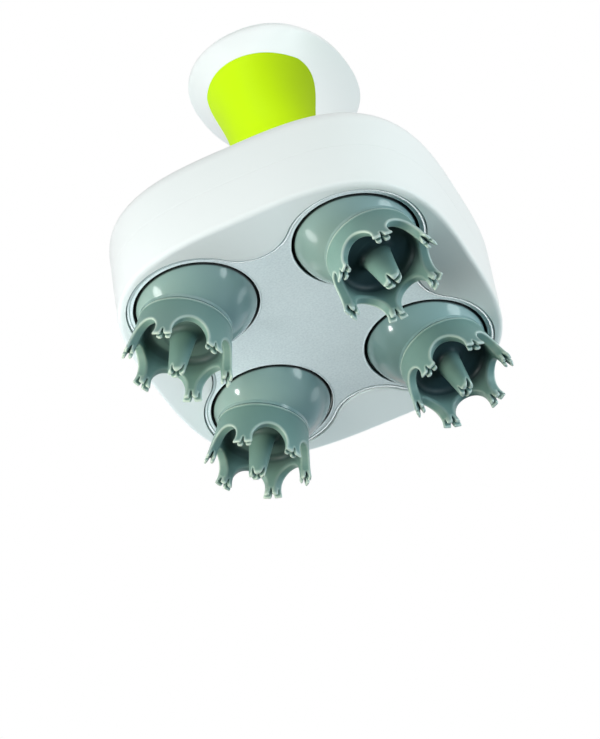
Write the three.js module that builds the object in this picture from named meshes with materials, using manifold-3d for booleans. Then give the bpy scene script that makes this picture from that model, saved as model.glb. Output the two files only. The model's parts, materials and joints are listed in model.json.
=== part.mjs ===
// An electric scalp massager: a rounded square body that carries four turning heads,
// each a ball-shaped bell with a soft seven-fingered claw, under a mushroom handle.
// Millimetres, +Z up, the front (with the coloured grip) towards -Y.
// Heights are counted from the outer face of the face plate; the last lines lift the
// whole product so that its lowest finger tip stands at zero.
import * as THREE from "three";
import { mergeVertices } from "three/addons/utils/BufferGeometryUtils.js";
import Module from "manifold-3d";

const wasm = await Module();
wasm.setup();

// Gaps between pieces
const gap = 0.3;
const holeGap = 0.8;

// Head places: everything on the underside follows from the holes
const holeRadius = 20;
const holeSpacing = 15;
const headPitch = 2 * holeRadius + holeSpacing;
const headOffset = headPitch / 2;

// Body
const bodyEdge = 6.2;
const lobeMargin = 2;
const bodyHalf = headOffset + holeRadius + lobeMargin + bodyEdge;
const bodyFlare = 0.1;
const bodySquareness = 3.2;
const bodyBottom = -0.7;
const bottomRound = 4.4;
const wallTop = 27.9;
const shoulderRise = 9.1;
const shoulderReach = 10.3;
const bodyWall = 2.4;
const floorTop = 3;
const partingHeight = 16.2;
const gasketHeight = 0.7;
const gasketInset = 1.2;

// Face plate
const plateThickness = 1.5;
const waistStep = 9.5;
const waistHalf = headOffset + waistStep;

// Heads
const pivotHeight = 8.8;
const headTilt = 16;
const headLean = 8;
const bellLength = 16;
const bellWall = 2;
const bellFloor = 2.6;
const bellZoneEnd = 50;
const bellZoneStart = 96;
const bossRadius = 5.5;
const bossRise = 8.5;
const seamInset = 5.3;
const seamRadius = holeRadius - seamInset;

// Claws
const clawLength = 16.5;
const clawWall = 3;
const clawFloor = 3.4;
const stubRadius = 6;
const stubLength = 1.5;
const fingerCount = 6;
const fingerWidth = 3.9;
const tipFlare = 1.2;
const tipCircleRadius = seamRadius + tipFlare;
const archRise = 8.6;
const centreFingerExtra = 2.3;
const centreFingerRootWide = 5.2;
const centreFingerRootDeep = 3.6;
const centreFingerTip = 2.1;

// Gear train
const basePlateBottom = 19.2;
const carrierThickness = 2;
const gearFace = 4.6;
const wheelFace = 2.5;
const centreTeeth = 14;
const headTeeth = 16;
const wheelTeeth = 24;
const pinionTeeth = 10;
const pressureAngle = 20;
const shaftRadius = 3;
const axleRadius = 2;
const bushWall = 1.7;
const bushFlange = 1;
const flangeThickness = 0.6;

// Motor and battery
const motorRadius = 12;
const gearheadLength = 11;
const motorLength = 27;
const outputRadius = 2;
const batteryRadius = 9.2;
const batteryLength = 35;
const cradleWall = 1.4;
const cradleFloor = 1.3;
const cradleHeight = 22;

// Screws
const screwInset = 3;
const screwCircle = waistHalf - screwInset;
const topPlateEdge = 10;
const topPlateHalf = screwCircle + topPlateEdge;
const screwRadius = 1.25;
const screwHeadRadius = 2.3;
const screwHeadHeight = 1.2;
const postRadius = 3.6;
const legRadius = 3;
const handleScrewReach = 5.5;
const handleScrewCircle = motorRadius + handleScrewReach;
const handleScrewGrip = 3.2;
const motorScrewInset = 3.5;
const motorScrewCircle = motorRadius - motorScrewInset;
const motorScrewRadius = 1;
const motorScrewGrip = 5;

// Handle
const handleFlange = 4;
const handleWall = 3.2;
const rimTilt = 11;
const boardRoom = 5.4;
const rimCentreY = 5;
const rimHalfWidth = 26.9;
const rimHalfLength = 37;
const capSquareness = 2.3;
const domeRise = 11.2;
const coverWall = 2.2;
const coverSeam = 26;
const neckHalfWidth = motorRadius + 3.9;
const neckHalfLength = motorRadius + 6.1;
const neckCentreY = 1;
const neckShare = 0.46;
const footFlare = 6.1;

// Front grip
const gripThickness = 1.3;
const gripDrop = 8.6;
const gripKneeDrop = 24;
const gripKneeRise = 9;
const gripFootRise = 6.5;
const gripFootBack = -rimHalfLength * 0.43;
const gripBack = -rimHalfLength * 0.12;
const gripCrestY = -rimHalfLength * 0.45;

// Button, board and socket, measured in the tilted frame of the rim
const buttonRadius = 7.3;
const buttonRise = 0.2;
const buttonThickness = 2;
const buttonTravel = 0.8;
const lightRingWall = 1;
const flangeLip = 1.6;
const boardHalfWidth = 9;
const boardHalfLength = 22;
const boardThickness = 1.2;
const boardTop = 0.4;
const boardScrewOffset = 18;
const boardPostRadius = 2.2;
const boardScrewPlaces = [
  { name: "back", x: 0, y: boardScrewOffset },
  { name: "front", x: 0, y: -boardScrewOffset },
];
const switchHalf = 3;
const switchHeight = 2.3;
const plungerRadius = 1.5;
const plungerRise = 0.6;
const socketDrop = 5.5;
const socketRadius = 4;
const socketShoulder = 0.8;
const socketReach = 6;
const socketDepth = 11;
const socketBore = 1.8;

// How finely the round pieces are cut
const bodySteps = 40;
const handleSteps = 26;
const holeSteps = 24;
const headSteps = 24;
const pinSteps = 8;

// Sizes worked out from the ones above
const radians = THREE.MathUtils.degToRad;
const bodyTop = wallTop + shoulderRise;
const ceiling = bodyTop - bodyWall;
const ballRadius = Math.hypot(holeRadius - holeGap, pivotHeight);
const basePlateTop = basePlateBottom + carrierThickness;
const gearBottom = basePlateTop + flangeThickness + 2 * gap;
const gearTop = gearBottom + gearFace;
const wheelBottom = gearTop + gap;
const wheelTop = wheelBottom + wheelFace;
const topPlateBottom = wheelTop + 2 * gap;
const topPlateTop = topPlateBottom + carrierThickness;
const gearheadBottom = topPlateTop + gap;
const motorBottom = gearheadBottom + gearheadLength + gap;
const motorTop = motorBottom + motorLength;
const cradleBottom = motorTop + gap;
const batteryBottom = cradleBottom + cradleFloor + gap;
const rimHeight = batteryBottom + batteryLength + boardRoom;
const bushRadius = shaftRadius + gap + bushWall;
const lobeRadius = holeRadius + lobeMargin;
const handleFoot = bodyTop + gap;
const handleHeight = rimHeight - handleFoot;
const neckHeight = handleFoot + neckShare * handleHeight;

const colours = {
  white: { color: 0xeef2f1, roughness: 0.35, metalness: 0 },
  plate: { color: 0xc4d0d2, roughness: 0.45, metalness: 0 },
  lime: { color: 0xc2f01e, roughness: 0.5, metalness: 0 },
  bell: { color: 0x8aa39b, roughness: 0.2, metalness: 0 },
  claw: { color: 0x7a958c, roughness: 0.6, metalness: 0 },
  nylon: { color: 0xe6e2d6, roughness: 0.5, metalness: 0 },
  frame: { color: 0x3f464a, roughness: 0.6, metalness: 0 },
  steel: { color: 0xb8bcc0, roughness: 0.3, metalness: 1 },
  brass: { color: 0xc9a45c, roughness: 0.35, metalness: 1 },
  rubber: { color: 0x23282a, roughness: 0.8, metalness: 0 },
  board: { color: 0x1f6b43, roughness: 0.5, metalness: 0 },
  battery: { color: 0x3c78b4, roughness: 0.4, metalness: 0 },
  lens: { color: 0xf4f7f2, roughness: 0.2, metalness: 0 },
};

// A closed three.js geometry as a solid that can be joined and cut
function solid(geometry) {
  const bare = new THREE.BufferGeometry();
  bare.setAttribute("position", geometry.getAttribute("position"));
  bare.setIndex(geometry.getIndex());
  const merged = mergeVertices(bare, 1e-4);
  return new wasm.Manifold(
    new wasm.Mesh({
      numProp: 3,
      vertProperties: merged.getAttribute("position").array,
      triVerts: new Uint32Array(merged.getIndex().array),
    }),
  );
}

function geometryOf(manifold) {
  const made = manifold.getMesh();
  const geometry = new THREE.BufferGeometry();
  geometry.setAttribute("position", new THREE.BufferAttribute(Float32Array.from(made.vertProperties), 3));
  geometry.setIndex(Array.from(made.triVerts));
  geometry.computeVertexNormals();
  return geometry;
}

function joined(...geometries) {
  return geometryOf(geometries.map(solid).reduce((all, next) => all.add(next)));
}

function cut(geometry, ...tools) {
  return geometryOf(tools.map(solid).reduce((left, tool) => left.subtract(tool), solid(geometry)));
}

function common(a, b) {
  return geometryOf(solid(a).intersect(solid(b)));
}

// A cylinder on the Z axis between two heights
function rod(radius, bottom, top, steps = pinSteps, x = 0, y = 0) {
  const geometry = new THREE.CylinderGeometry(radius, radius, top - bottom, steps);
  return geometry.rotateX(Math.PI / 2).translate(x, y, (bottom + top) / 2);
}

function tube(inner, outer, bottom, top, steps = pinSteps) {
  return cut(rod(outer, bottom, top, steps), rod(inner, bottom - 1, top + 1, steps));
}

function block(halfX, halfY, bottom, top) {
  return new THREE.BoxGeometry(2 * halfX, 2 * halfY, top - bottom).translate(0, 0, (bottom + top) / 2);
}

// A profile of [radius, height] pairs turned about the Z axis
function turned(profile, steps) {
  const area = profile.reduce((sum, [r, z], i) => {
    const [nextR, nextZ] = profile[(i + 1) % profile.length];
    return sum + r * nextZ - nextR * z;
  }, 0);
  const ordered = area > 0 ? profile : [...profile].reverse();
  const points = ordered.map(([r, z]) => new THREE.Vector2(r, z));
  if (points[0].x > 0 || points.at(-1).x > 0) points.push(points[0].clone());
  return new THREE.LatheGeometry(points, steps).rotateX(Math.PI / 2);
}

// A closed skin through rings of equally many points, from the lowest ring to the highest
function lofted(rings) {
  const count = rings[0].length;
  const middle = (ring) =>
    ring.reduce((sum, p) => sum.add(p), new THREE.Vector3()).divideScalar(ring.length);
  const points = [...rings.flat(), middle(rings[0]), middle(rings.at(-1))];
  const faces = [];
  const lastRing = (rings.length - 1) * count;
  for (let j = 0; j < count; j += 1) {
    const next = (j + 1) % count;
    for (let start = 0; start < lastRing; start += count) {
      faces.push(start + j, start + next, start + count + next);
      faces.push(start + j, start + count + next, start + count + j);
    }
    faces.push(lastRing + count, next, j);
    faces.push(lastRing + count + 1, lastRing + j, lastRing + next);
  }
  const geometry = new THREE.BufferGeometry().setFromPoints(points);
  geometry.setIndex(faces);
  return geometry;
}

// A ring of points on a superellipse
function ovalRing(halfX, halfY, squareness, height, steps) {
  return Array.from({ length: steps }, (_, i) => {
    const angle = (2 * Math.PI * i) / steps;
    const c = Math.cos(angle);
    const s = Math.sin(angle);
    const reach = (Math.abs(c) ** squareness + Math.abs(s) ** squareness) ** (-1 / squareness);
    return new THREE.Vector3(halfX * reach * c, halfY * reach * s, height);
  });
}

const bodyRing = (half, height) => ovalRing(half, half, bodySquareness, height, bodySteps);

// How far the body's outer wall stands from the middle at a height on its straight part
function wallHalf(height) {
  const share = (height - bodyBottom - bottomRound) / (wallTop - bodyBottom - bottomRound);
  return bodyHalf + bodyFlare * THREE.MathUtils.clamp(share, 0, 1);
}

// The four head places, counter-clockwise from the back right
const headPlaces = [
  { name: "back_right", x: 1, y: 1, clawPhase: 52 },
  { name: "back_left", x: -1, y: 1, clawPhase: 21.5 },
  { name: "front_left", x: -1, y: -1, clawPhase: 19.3 },
  { name: "front_right", x: 1, y: -1, clawPhase: 13.1 },
];
const onDiagonals = (reach) => headPlaces.map(({ name, x, y }) => ({ name, x: x * reach, y: y * reach }));
const headCentres = onDiagonals(headOffset);
const handleScrewPlaces = onDiagonals(handleScrewCircle / Math.SQRT2);
const screwPlaces = [
  { name: "right", x: screwCircle, y: 0 },
  { name: "back", x: 0, y: screwCircle },
  { name: "left", x: -screwCircle, y: 0 },
  { name: "front", x: 0, y: -screwCircle },
];

// The plate's four-lobed outline: a round lobe about each hole, joined by hollow waists
function plateShape(margin) {
  const lobe = lobeRadius + margin;
  const waist = waistHalf + margin;
  const step = waist - headOffset;
  const hollow = (headOffset ** 2 + step ** 2 - lobe ** 2) / (2 * (lobe - step));
  const centre = waist + hollow;
  const shape = new THREE.Shape();
  const lobeStart = Math.atan2(-headOffset, centre - headOffset);
  const hollowStart = Math.atan2(headOffset - centre, headOffset);
  for (let k = 0; k < 4; k += 1) {
    const turn = (k * Math.PI) / 2;
    const at = (x, y) => new THREE.Vector2(x, y).rotateAround(new THREE.Vector2(), turn);
    const lobeAt = at(headOffset, headOffset);
    const hollowAt = at(0, centre);
    const lobeEnd = Math.PI / 2 - lobeStart;
    const hollowEnd = -Math.PI - hollowStart;
    shape.absarc(lobeAt.x, lobeAt.y, lobe, lobeStart + turn, lobeEnd + turn, false);
    shape.absarc(hollowAt.x, hollowAt.y, hollow, hollowStart + turn, hollowEnd + turn, true);
  }
  return shape;
}

function slab(shape, bottom, top, curveSegments = 3) {
  const options = { depth: top - bottom, bevelEnabled: false, curveSegments };
  return new THREE.ExtrudeGeometry(shape, options).translate(0, 0, bottom);
}

// Housing
function lowerHousing() {
  const rings = [0, 45, 90].map((step) => {
    const angle = radians(step);
    return bodyRing(
      bodyHalf - bottomRound * (1 - Math.sin(angle)),
      bodyBottom + bottomRound * (1 - Math.cos(angle)),
    );
  });
  rings.push(bodyRing(wallHalf(partingHeight), partingHeight));
  const innerHalf = wallHalf(partingHeight) - bodyWall;
  const inside = lofted([bodyRing(innerHalf, floorTop), bodyRing(innerHalf, partingHeight + 1)]);
  const stepHalf = wallHalf(partingHeight) - gasketInset;
  const stepBottom = partingHeight - gasketHeight - gap;
  const gasketStep = lofted([bodyRing(stepHalf, stepBottom), bodyRing(stepHalf, partingHeight + 1)]);
  const platePocket = slab(plateShape(gap), bodyBottom - 1, plateThickness + gap);
  const shell = cut(
    lofted(rings),
    inside,
    gasketStep,
    platePocket,
    ...headCentres.map(({ x, y }) => rod(lobeRadius - holeGap, 0, floorTop + 1, holeSteps, x, y)),
  );
  const postBottom = plateThickness + gap;
  const seatTop = floorTop + screwHeadHeight / 2;
  const posts = screwPlaces.map(({ x, y }) =>
    rod(postRadius, postBottom, basePlateBottom - gap, pinSteps, x, y),
  );
  const bores = screwPlaces.flatMap(({ x, y }) => [
    rod(screwRadius + gap, 0, basePlateBottom, pinSteps, x, y),
    rod(screwHeadRadius + gap, 0, seatTop, pinSteps, x, y),
  ]);
  return cut(joined(shell, ...posts), ...bores);
}

function facePlate() {
  const holes = headCentres.map(({ x, y }) => rod(holeRadius, -1, plateThickness + 1, holeSteps, x, y));
  return cut(slab(plateShape(0), 0, plateThickness), ...holes);
}

function bodyGasket() {
  const outerHalf = wallHalf(partingHeight) - gasketInset - gap;
  const innerHalf = wallHalf(partingHeight) - bodyWall + gap / 3;
  const bottom = partingHeight - gasketHeight;
  return cut(
    lofted([bodyRing(outerHalf, bottom), bodyRing(outerHalf, partingHeight)]),
    lofted([bodyRing(innerHalf, bottom - 1), bodyRing(innerHalf, partingHeight + 1)]),
  );
}

// The rounded shoulder's rings, for the outside or for the inside one wall further in
function shoulderRings(inset, steps) {
  return steps.map((step) => {
    const angle = radians(step);
    const reach = (shoulderReach - inset) * (1 - Math.cos(angle));
    return bodyRing(wallHalf(wallTop) - inset - reach, wallTop + (shoulderRise - inset) * Math.sin(angle));
  });
}

function upperHousing() {
  const bottom = partingHeight + gap;
  const innerHalf = wallHalf(bottom) - bodyWall;
  const outside = lofted([bodyRing(wallHalf(bottom), bottom), ...shoulderRings(0, [0, 22, 45, 68, 90])]);
  const inside = lofted([bodyRing(innerHalf, bottom - 1), ...shoulderRings(bodyWall, [0, 45, 90])]);
  const bosses = screwPlaces.map(({ x, y }) =>
    rod(postRadius, topPlateTop + gap, ceiling + 1, pinSteps, x, y),
  );
  const threads = screwPlaces.map(({ x, y }) =>
    rod(screwRadius + gap, topPlateTop, ceiling, pinSteps, x, y),
  );
  const neckScrews = handleScrewPlaces.map(({ x, y }) =>
    rod(screwRadius + gap, ceiling - 1, bodyTop + 1, pinSteps, x, y),
  );
  const neckOpening = rod(motorRadius + 4 * gap, ceiling - 1, bodyTop + 1, holeSteps);
  return cut(joined(cut(outside, inside), ...bosses), ...threads, ...neckScrews, neckOpening);
}

// Handle: the foot flares out onto the body, and above the neck the handle swells
// and tilts until it meets the rim
function handleStation(height) {
  const foot = THREE.MathUtils.clamp((neckHeight - height) / (neckHeight - handleFoot), 0, 1);
  const rise = THREE.MathUtils.clamp((height - neckHeight) / (rimHeight - neckHeight), 0, 1);
  const swell = Math.sin((Math.PI / 2) * rise) ** 2;
  const flare = footFlare * foot ** 4;
  return {
    height,
    halfWidth: THREE.MathUtils.lerp(neckHalfWidth, rimHalfWidth, rise ** 3) + flare,
    halfLength: THREE.MathUtils.lerp(neckHalfLength, rimHalfLength, swell) + flare,
    centreY: THREE.MathUtils.lerp(neckCentreY, rimCentreY, swell),
    tilt: rimTilt * Math.sin((Math.PI / 2) * rise),
    squareness: THREE.MathUtils.lerp(2, capSquareness, rise ** 6),
  };
}

function handleRing(height, inset) {
  const { halfWidth, halfLength, centreY, tilt, squareness } = handleStation(height);
  const ring = ovalRing(halfWidth - inset, halfLength - inset, squareness, 0, handleSteps);
  const turn = new THREE.Euler(radians(tilt), 0, 0);
  return ring.map((p) => p.applyEuler(turn).add(new THREE.Vector3(0, centreY, height)));
}

// The handle's surface, or one an inset further in, with its rounded edge over the rim
function handleBlank(inset) {
  const shares = [0, 0.04, 0.11, 0.24, neckShare, 0.62, 0.73, 0.82, 0.9, 0.96, 1];
  const rings = shares.map((share) => handleRing(handleFoot + share * handleHeight, inset));
  return lofted([...rings, ...rimEdge(inset)]);
}

// The hollow inside the handle, open where the cover starts
function handleHollow() {
  const floor = handleFoot + handleFlange;
  const shares = [0.2, 0.5, 0.7, 0.86, 1];
  const heights = [floor, ...shares.map((share) => handleFoot + share * handleHeight)];
  const [throat] = rimEdge(handleWall, [coverSeam]);
  const mouth = throat.map((p) => p.clone().setZ(p.z + handleWall));
  return lofted([...heights.map((height) => handleRing(height, handleWall)), throat, mouth]);
}

// Rings of the dome from the rim up to the seam where the cover starts
function rimEdge(inset, steps = [coverSeam / 2, coverSeam]) {
  const turn = new THREE.Euler(radians(rimTilt), 0, 0);
  const place = new THREE.Vector3(0, rimCentreY, rimHeight);
  return domeRings(inset, steps).map((ring) => ring.map((p) => p.applyEuler(turn).add(place)));
}

// The front grip's outline as seen from the side, cut straight across the handle:
// up the side of the neck, round a corner, and forward just under the rim
function gripCutter(margin) {
  const front = -rimHalfLength - 2 * handleWall;
  const slope = Math.tan(radians(rimTilt));
  const crestHeight = (y) => rimHeight + slope * (y - rimCentreY) - gripDrop + margin;
  const foot = handleFoot + gripFootRise - margin;
  const footBack = gripFootBack + margin;
  const back = gripBack + margin;
  const knee = rimHeight - gripKneeDrop;
  const shape = new THREE.Shape();
  shape.moveTo(front, foot);
  shape.lineTo(footBack, foot);
  shape.bezierCurveTo(footBack + 6, foot, back, (foot + knee) / 2, back, knee);
  const crest = crestHeight(gripCrestY);
  shape.bezierCurveTo(back, knee + gripKneeRise, gripCrestY * 0.55, crest, gripCrestY, crest);
  shape.lineTo(front, crestHeight(front));
  const depth = 2 * rimHalfWidth;
  const options = { depth, bevelEnabled: false, curveSegments: 5 };
  const cutter = new THREE.ExtrudeGeometry(shape, options).translate(0, 0, -depth / 2);
  return cutter.rotateY(Math.PI / 2).rotateX(Math.PI / 2);
}

function handleShell() {
  const bore = rod(motorRadius + 4 * gap, bodyTop, handleFoot + handleFlange + 1, holeSteps);
  const gripBed = cut(gripCutter(gap), handleBlank(gripThickness + gap));
  const threads = handleScrewPlaces.map(({ x, y }) =>
    rod(screwRadius + gap, bodyTop, handleFoot + handleScrewGrip, pinSteps, x, y),
  );
  const socketHole = backward(rod(socketRadius + gap, 0, 2 * rimHalfLength));
  return cut(handleBlank(0), handleHollow(), bore, gripBed, ...threads, socketHole);
}

function frontGrip() {
  return common(cut(handleBlank(0), handleBlank(gripThickness)), gripCutter(0));
}

// Lays geometry drawn along Z out through the back of the handle, below the rim
function backward(geometry) {
  return inRimFrame(geometry.rotateX(-Math.PI / 2).translate(0, 0, -socketDrop));
}

// Puts geometry that is drawn about the middle of the rim into the product
function inRimFrame(geometry) {
  return geometry.rotateX(radians(rimTilt)).translate(0, rimCentreY, rimHeight);
}

// The dome's rings about the middle of the rim, or those of a surface an inset further in
function domeRings(inset, steps) {
  return steps.map((step) => {
    const angle = radians(step);
    const squareness = THREE.MathUtils.lerp(capSquareness, 2, step / 90);
    const width = (rimHalfWidth - inset) * Math.cos(angle);
    const length = (rimHalfLength - inset) * Math.cos(angle);
    return ovalRing(width, length, squareness, (domeRise - inset) * Math.sin(angle), handleSteps);
  });
}

// The dome's height above the rim at its middle, and a wall further in
const domeEnd = 74;
const domeTop = domeRise * Math.sin(radians(domeEnd));
const domeUnder = (domeRise - coverWall) * Math.sin(radians(domeEnd));
const seamTop = domeRise * Math.sin(radians(coverSeam)) + gap;
const ringRadius = buttonRadius + gap + lightRingWall;
const ringFlangeTop = domeUnder - 1;
const ringFlangeBottom = ringFlangeTop - 1;
const buttonFlangeTop = ringFlangeBottom - gap;
const buttonFlangeBottom = buttonFlangeTop - 0.8;
const switchBottom = boardTop + gap;
const switchTop = switchBottom + switchHeight;
const plungerTop = switchTop + buttonTravel + plungerRise;

function topCover() {
  const outside = domeRings(0, [coverSeam, 42, 58, domeEnd]);
  outside[0].forEach((p) => p.setZ(seamTop));
  const inside = domeRings(coverWall, [coverSeam, 50, domeEnd]);
  inside[0].forEach((p) => p.setZ(0));
  const shell = cut(lofted(outside), lofted(inside));
  const opening = rod(ringRadius + gap, 0, domeRise + 2, holeSteps);
  const screwPosts = boardScrewPlaces.map(({ x, y }) =>
    rod(boardPostRadius, boardTop + gap, domeUnder - 0.5, pinSteps, x, y),
  );
  const screwBores = boardScrewPlaces.map(({ x, y }) =>
    rod(motorScrewRadius + gap, 0, domeUnder - 2, pinSteps, x, y),
  );
  return cut(joined(shell, ...screwPosts), opening, ...screwBores);
}

function lightRing() {
  const inner = buttonRadius + gap;
  return turned(
    [
      [inner, ringFlangeBottom],
      [ringRadius + flangeLip, ringFlangeBottom],
      [ringRadius + flangeLip, ringFlangeTop],
      [ringRadius, ringFlangeTop],
      [ringRadius, domeTop - gap],
      [inner, domeTop - gap / 3],
    ],
    holeSteps,
  );
}

function powerButton() {
  const crown = domeTop + buttonRise;
  return turned(
    [
      [0, plungerTop + gap],
      [plungerRadius + 0.4, plungerTop + gap],
      [plungerRadius + 0.4, buttonFlangeBottom],
      [buttonRadius + flangeLip, buttonFlangeBottom],
      [buttonRadius + flangeLip, buttonFlangeTop],
      [buttonRadius, buttonFlangeTop],
      [buttonRadius, crown - 0.5],
      [buttonRadius - 0.6, crown],
      [0, crown + 0.1],
    ],
    holeSteps,
  );
}

function switchPlunger() {
  return rod(plungerRadius, switchTop - switchHeight / 2 + buttonTravel / 2, plungerTop);
}

function tactSwitch() {
  const bore = rod(plungerRadius + gap, switchTop - switchHeight / 2 - buttonTravel, switchTop + 1);
  return cut(block(switchHalf, switchHalf, switchBottom, switchTop), bore);
}

function controlBoard() {
  const board = block(boardHalfWidth, boardHalfLength, boardTop - boardThickness, boardTop);
  const holes = boardScrewPlaces.map(({ x, y }) => rod(motorScrewRadius + gap, -5, 5, pinSteps, x, y));
  return cut(board, ...holes);
}

// A round-headed screw that points up, with the underside of its head at a height
function screw(radius, headRadius, headTop, tip) {
  const headBottom = headTop - screwHeadHeight;
  return turned(
    [
      [0, headBottom],
      [headRadius, headBottom],
      [headRadius, headTop],
      [radius, headTop],
      [radius, tip],
      [0, tip],
    ],
    pinSteps,
  );
}

function boardScrew() {
  const headTop = boardTop - boardThickness - gap;
  return screw(motorScrewRadius, 2 * motorScrewRadius, headTop, domeUnder - 3);
}

function chargingSocket() {
  const face = rimHalfLength - 2.6;
  const back = face - socketDepth;
  const lip = rimHalfLength - handleWall - 2 * gap - socketReach;
  const body = turned(
    [
      [0, back],
      [socketRadius + socketShoulder, back],
      [socketRadius + socketShoulder, lip],
      [socketRadius, lip],
      [socketRadius, face],
      [socketBore, face],
      [socketBore, face - socketDepth / 2],
      [0, face - socketDepth / 2],
    ],
    pinSteps,
  );
  return backward(body);
}

// Gears with straight-sided teeth; tooth number zero points along the phase angle
const addendum = 0.85;
const dedendum = 1.2;
const toothShare = 0.4;

function gearShape(teeth, toothModule, phase) {
  const pitchRadius = (teeth * toothModule) / 2;
  const tip = pitchRadius + addendum * toothModule;
  const root = pitchRadius - dedendum * toothModule;
  const step = (2 * Math.PI) / teeth;
  const halfTooth = (pitchRadius * step * toothShare) / 2;
  const slope = toothModule * Math.tan(radians(pressureAngle));
  const tipAngle = (halfTooth - addendum * slope) / tip;
  const rootAngle = (halfTooth + dedendum * slope) / root;
  const points = [];
  for (let k = 0; k < teeth; k += 1) {
    const middle = phase + k * step;
    const at = (radius, angle) =>
      new THREE.Vector2(radius * Math.cos(middle + angle), radius * Math.sin(middle + angle));
    points.push(at(root, -rootAngle), at(tip, -tipAngle), at(tip, tipAngle), at(root, rootAngle));
  }
  return new THREE.Shape(points);
}

// The phase that puts a gear in mesh with another whose centre lies back along a direction
function meshedPhase(phase, teeth, direction, followerTeeth) {
  const step = (2 * Math.PI) / teeth;
  const turned = (direction - phase) / step;
  const past = turned - Math.floor(turned);
  return direction + Math.PI + (past + 0.5) * ((2 * Math.PI) / followerTeeth);
}

// The module that lets two meshed centre gears each reach their two head gears
function trainModule() {
  const both = centreTeeth + headTeeth;
  const a = both ** 2 - centreTeeth ** 2;
  const b = 2 * headOffset * centreTeeth;
  const c = 2 * headOffset ** 2;
  return (2 * (-b + Math.sqrt(b ** 2 + 4 * a * c))) / (2 * a);
}
const toothModule = trainModule();
const centreOffset = (centreTeeth * toothModule) / 2;
const wheelModule = (2 * centreOffset) / (wheelTeeth + pinionTeeth);
const rightPhase = 0;
const leftPhase = meshedPhase(rightPhase, centreTeeth, Math.PI, centreTeeth);

function centreGear(phase, hasWheel) {
  const blank = slab(gearShape(centreTeeth, toothModule, phase), gearBottom, gearTop);
  const hub = rod(2 * axleRadius, basePlateTop + gap, topPlateBottom - gap);
  const bore = rod(axleRadius + gap, 0, ceiling, pinSteps);
  const pieces = [blank, hub];
  if (hasWheel) {
    pieces.push(slab(gearShape(wheelTeeth, wheelModule, 0), wheelBottom, wheelTop));
    pieces.push(rod(3 * axleRadius, gearTop - 1, wheelTop - 1));
  }
  return cut(joined(...pieces), bore);
}

function drivePinion() {
  const phase = meshedPhase(0, wheelTeeth, Math.PI, pinionTeeth);
  const teeth = slab(gearShape(pinionTeeth, wheelModule, phase), wheelBottom, wheelTop);
  return joined(teeth, rod(outputRadius, wheelTop - 1, gearheadBottom + gearheadLength / 2));
}

function headGear(place) {
  const side = place.x > 0 ? rightPhase : leftPhase;
  const direction = Math.atan2(place.y * headOffset, place.x * (headOffset - centreOffset));
  const phase = meshedPhase(side, centreTeeth, direction, headTeeth);
  const blank = slab(gearShape(headTeeth, toothModule, phase), gearBottom, gearTop);
  const hub = rod(bossRadius, gearTop - 1, topPlateBottom - gap, pinSteps);
  const bore = rod(shaftRadius + gap, 0, ceiling, pinSteps);
  return cut(joined(blank, hub), bore);
}

// Carrier plates, bushes, axles
function basePlate() {
  const half = wallHalf(partingHeight) - bodyWall - gap;
  const plate = lofted([bodyRing(half, basePlateBottom), bodyRing(half, basePlateTop)]);
  return cut(plate, ...carrierHoles(bushRadius + gap));
}

function topPlate() {
  const plate = lofted([bodyRing(topPlateHalf, topPlateBottom), bodyRing(topPlateHalf, topPlateTop)]);
  const legs = screwPlaces.map(({ x, y }) =>
    rod(legRadius, basePlateTop + gap, topPlateTop, pinSteps, x, y),
  );
  const motorScrewHoles = motorScrewPlaces.map(({ x, y }) =>
    rod(motorScrewRadius + gap, 0, ceiling, pinSteps, x, y),
  );
  const outputHole = rod(2 * outputRadius, 0, ceiling, pinSteps);
  const holes = [...carrierHoles(shaftRadius + gap), ...motorScrewHoles, outputHole];
  return cut(joined(plate, ...legs), ...holes);
}

function carrierHoles(shaftHole) {
  const hole = (radius) => ({ x, y }) => rod(radius, 0, ceiling, pinSteps, x, y);
  return [
    ...headCentres.map(hole(shaftHole)),
    ...screwPlaces.map(hole(screwRadius + gap)),
    ...axlePlaces.map(hole(axleRadius + gap)),
  ];
}

const axlePlaces = [
  { name: "right", x: centreOffset, y: 0 },
  { name: "left", x: -centreOffset, y: 0 },
];
const motorScrewPlaces = [
  { name: "back", x: 0, y: motorScrewCircle },
  { name: "front", x: 0, y: -motorScrewCircle },
];

// A flanged bush about the Z axis that hangs in the base plate by its flange
function shaftBush() {
  const flangeBottom = basePlateTop + gap;
  const flangeTop = flangeBottom + flangeThickness;
  const sleeve = rod(bushRadius, basePlateBottom, flangeTop);
  const flange = rod(bushRadius + bushFlange, flangeBottom, flangeTop);
  return cut(joined(sleeve, flange), rod(shaftRadius + gap, 0, ceiling));
}

function shaftSeal() {
  const bottom = pivotHeight + bossRise + gap;
  return tube(shaftRadius + gap, bushRadius + bushFlange, bottom, basePlateBottom - gap);
}

// Motor and battery
function gearhead() {
  const body = rod(motorRadius, gearheadBottom, gearheadBottom + gearheadLength, holeSteps);
  const bore = rod(outputRadius + gap, 0, gearheadBottom + gearheadLength / 2 + gap);
  const screwBores = motorScrewPlaces.map(({ x, y }) =>
    rod(motorScrewRadius + gap, 0, gearheadBottom + motorScrewGrip + gap, pinSteps, x, y),
  );
  return cut(body, bore, ...screwBores);
}

function motorCan() {
  const edge = 1.2;
  return turned(
    [
      [0, motorBottom],
      [motorRadius, motorBottom],
      [motorRadius, motorTop - edge],
      [motorRadius - edge, motorTop],
      [0, motorTop],
    ],
    holeSteps,
  );
}

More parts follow.
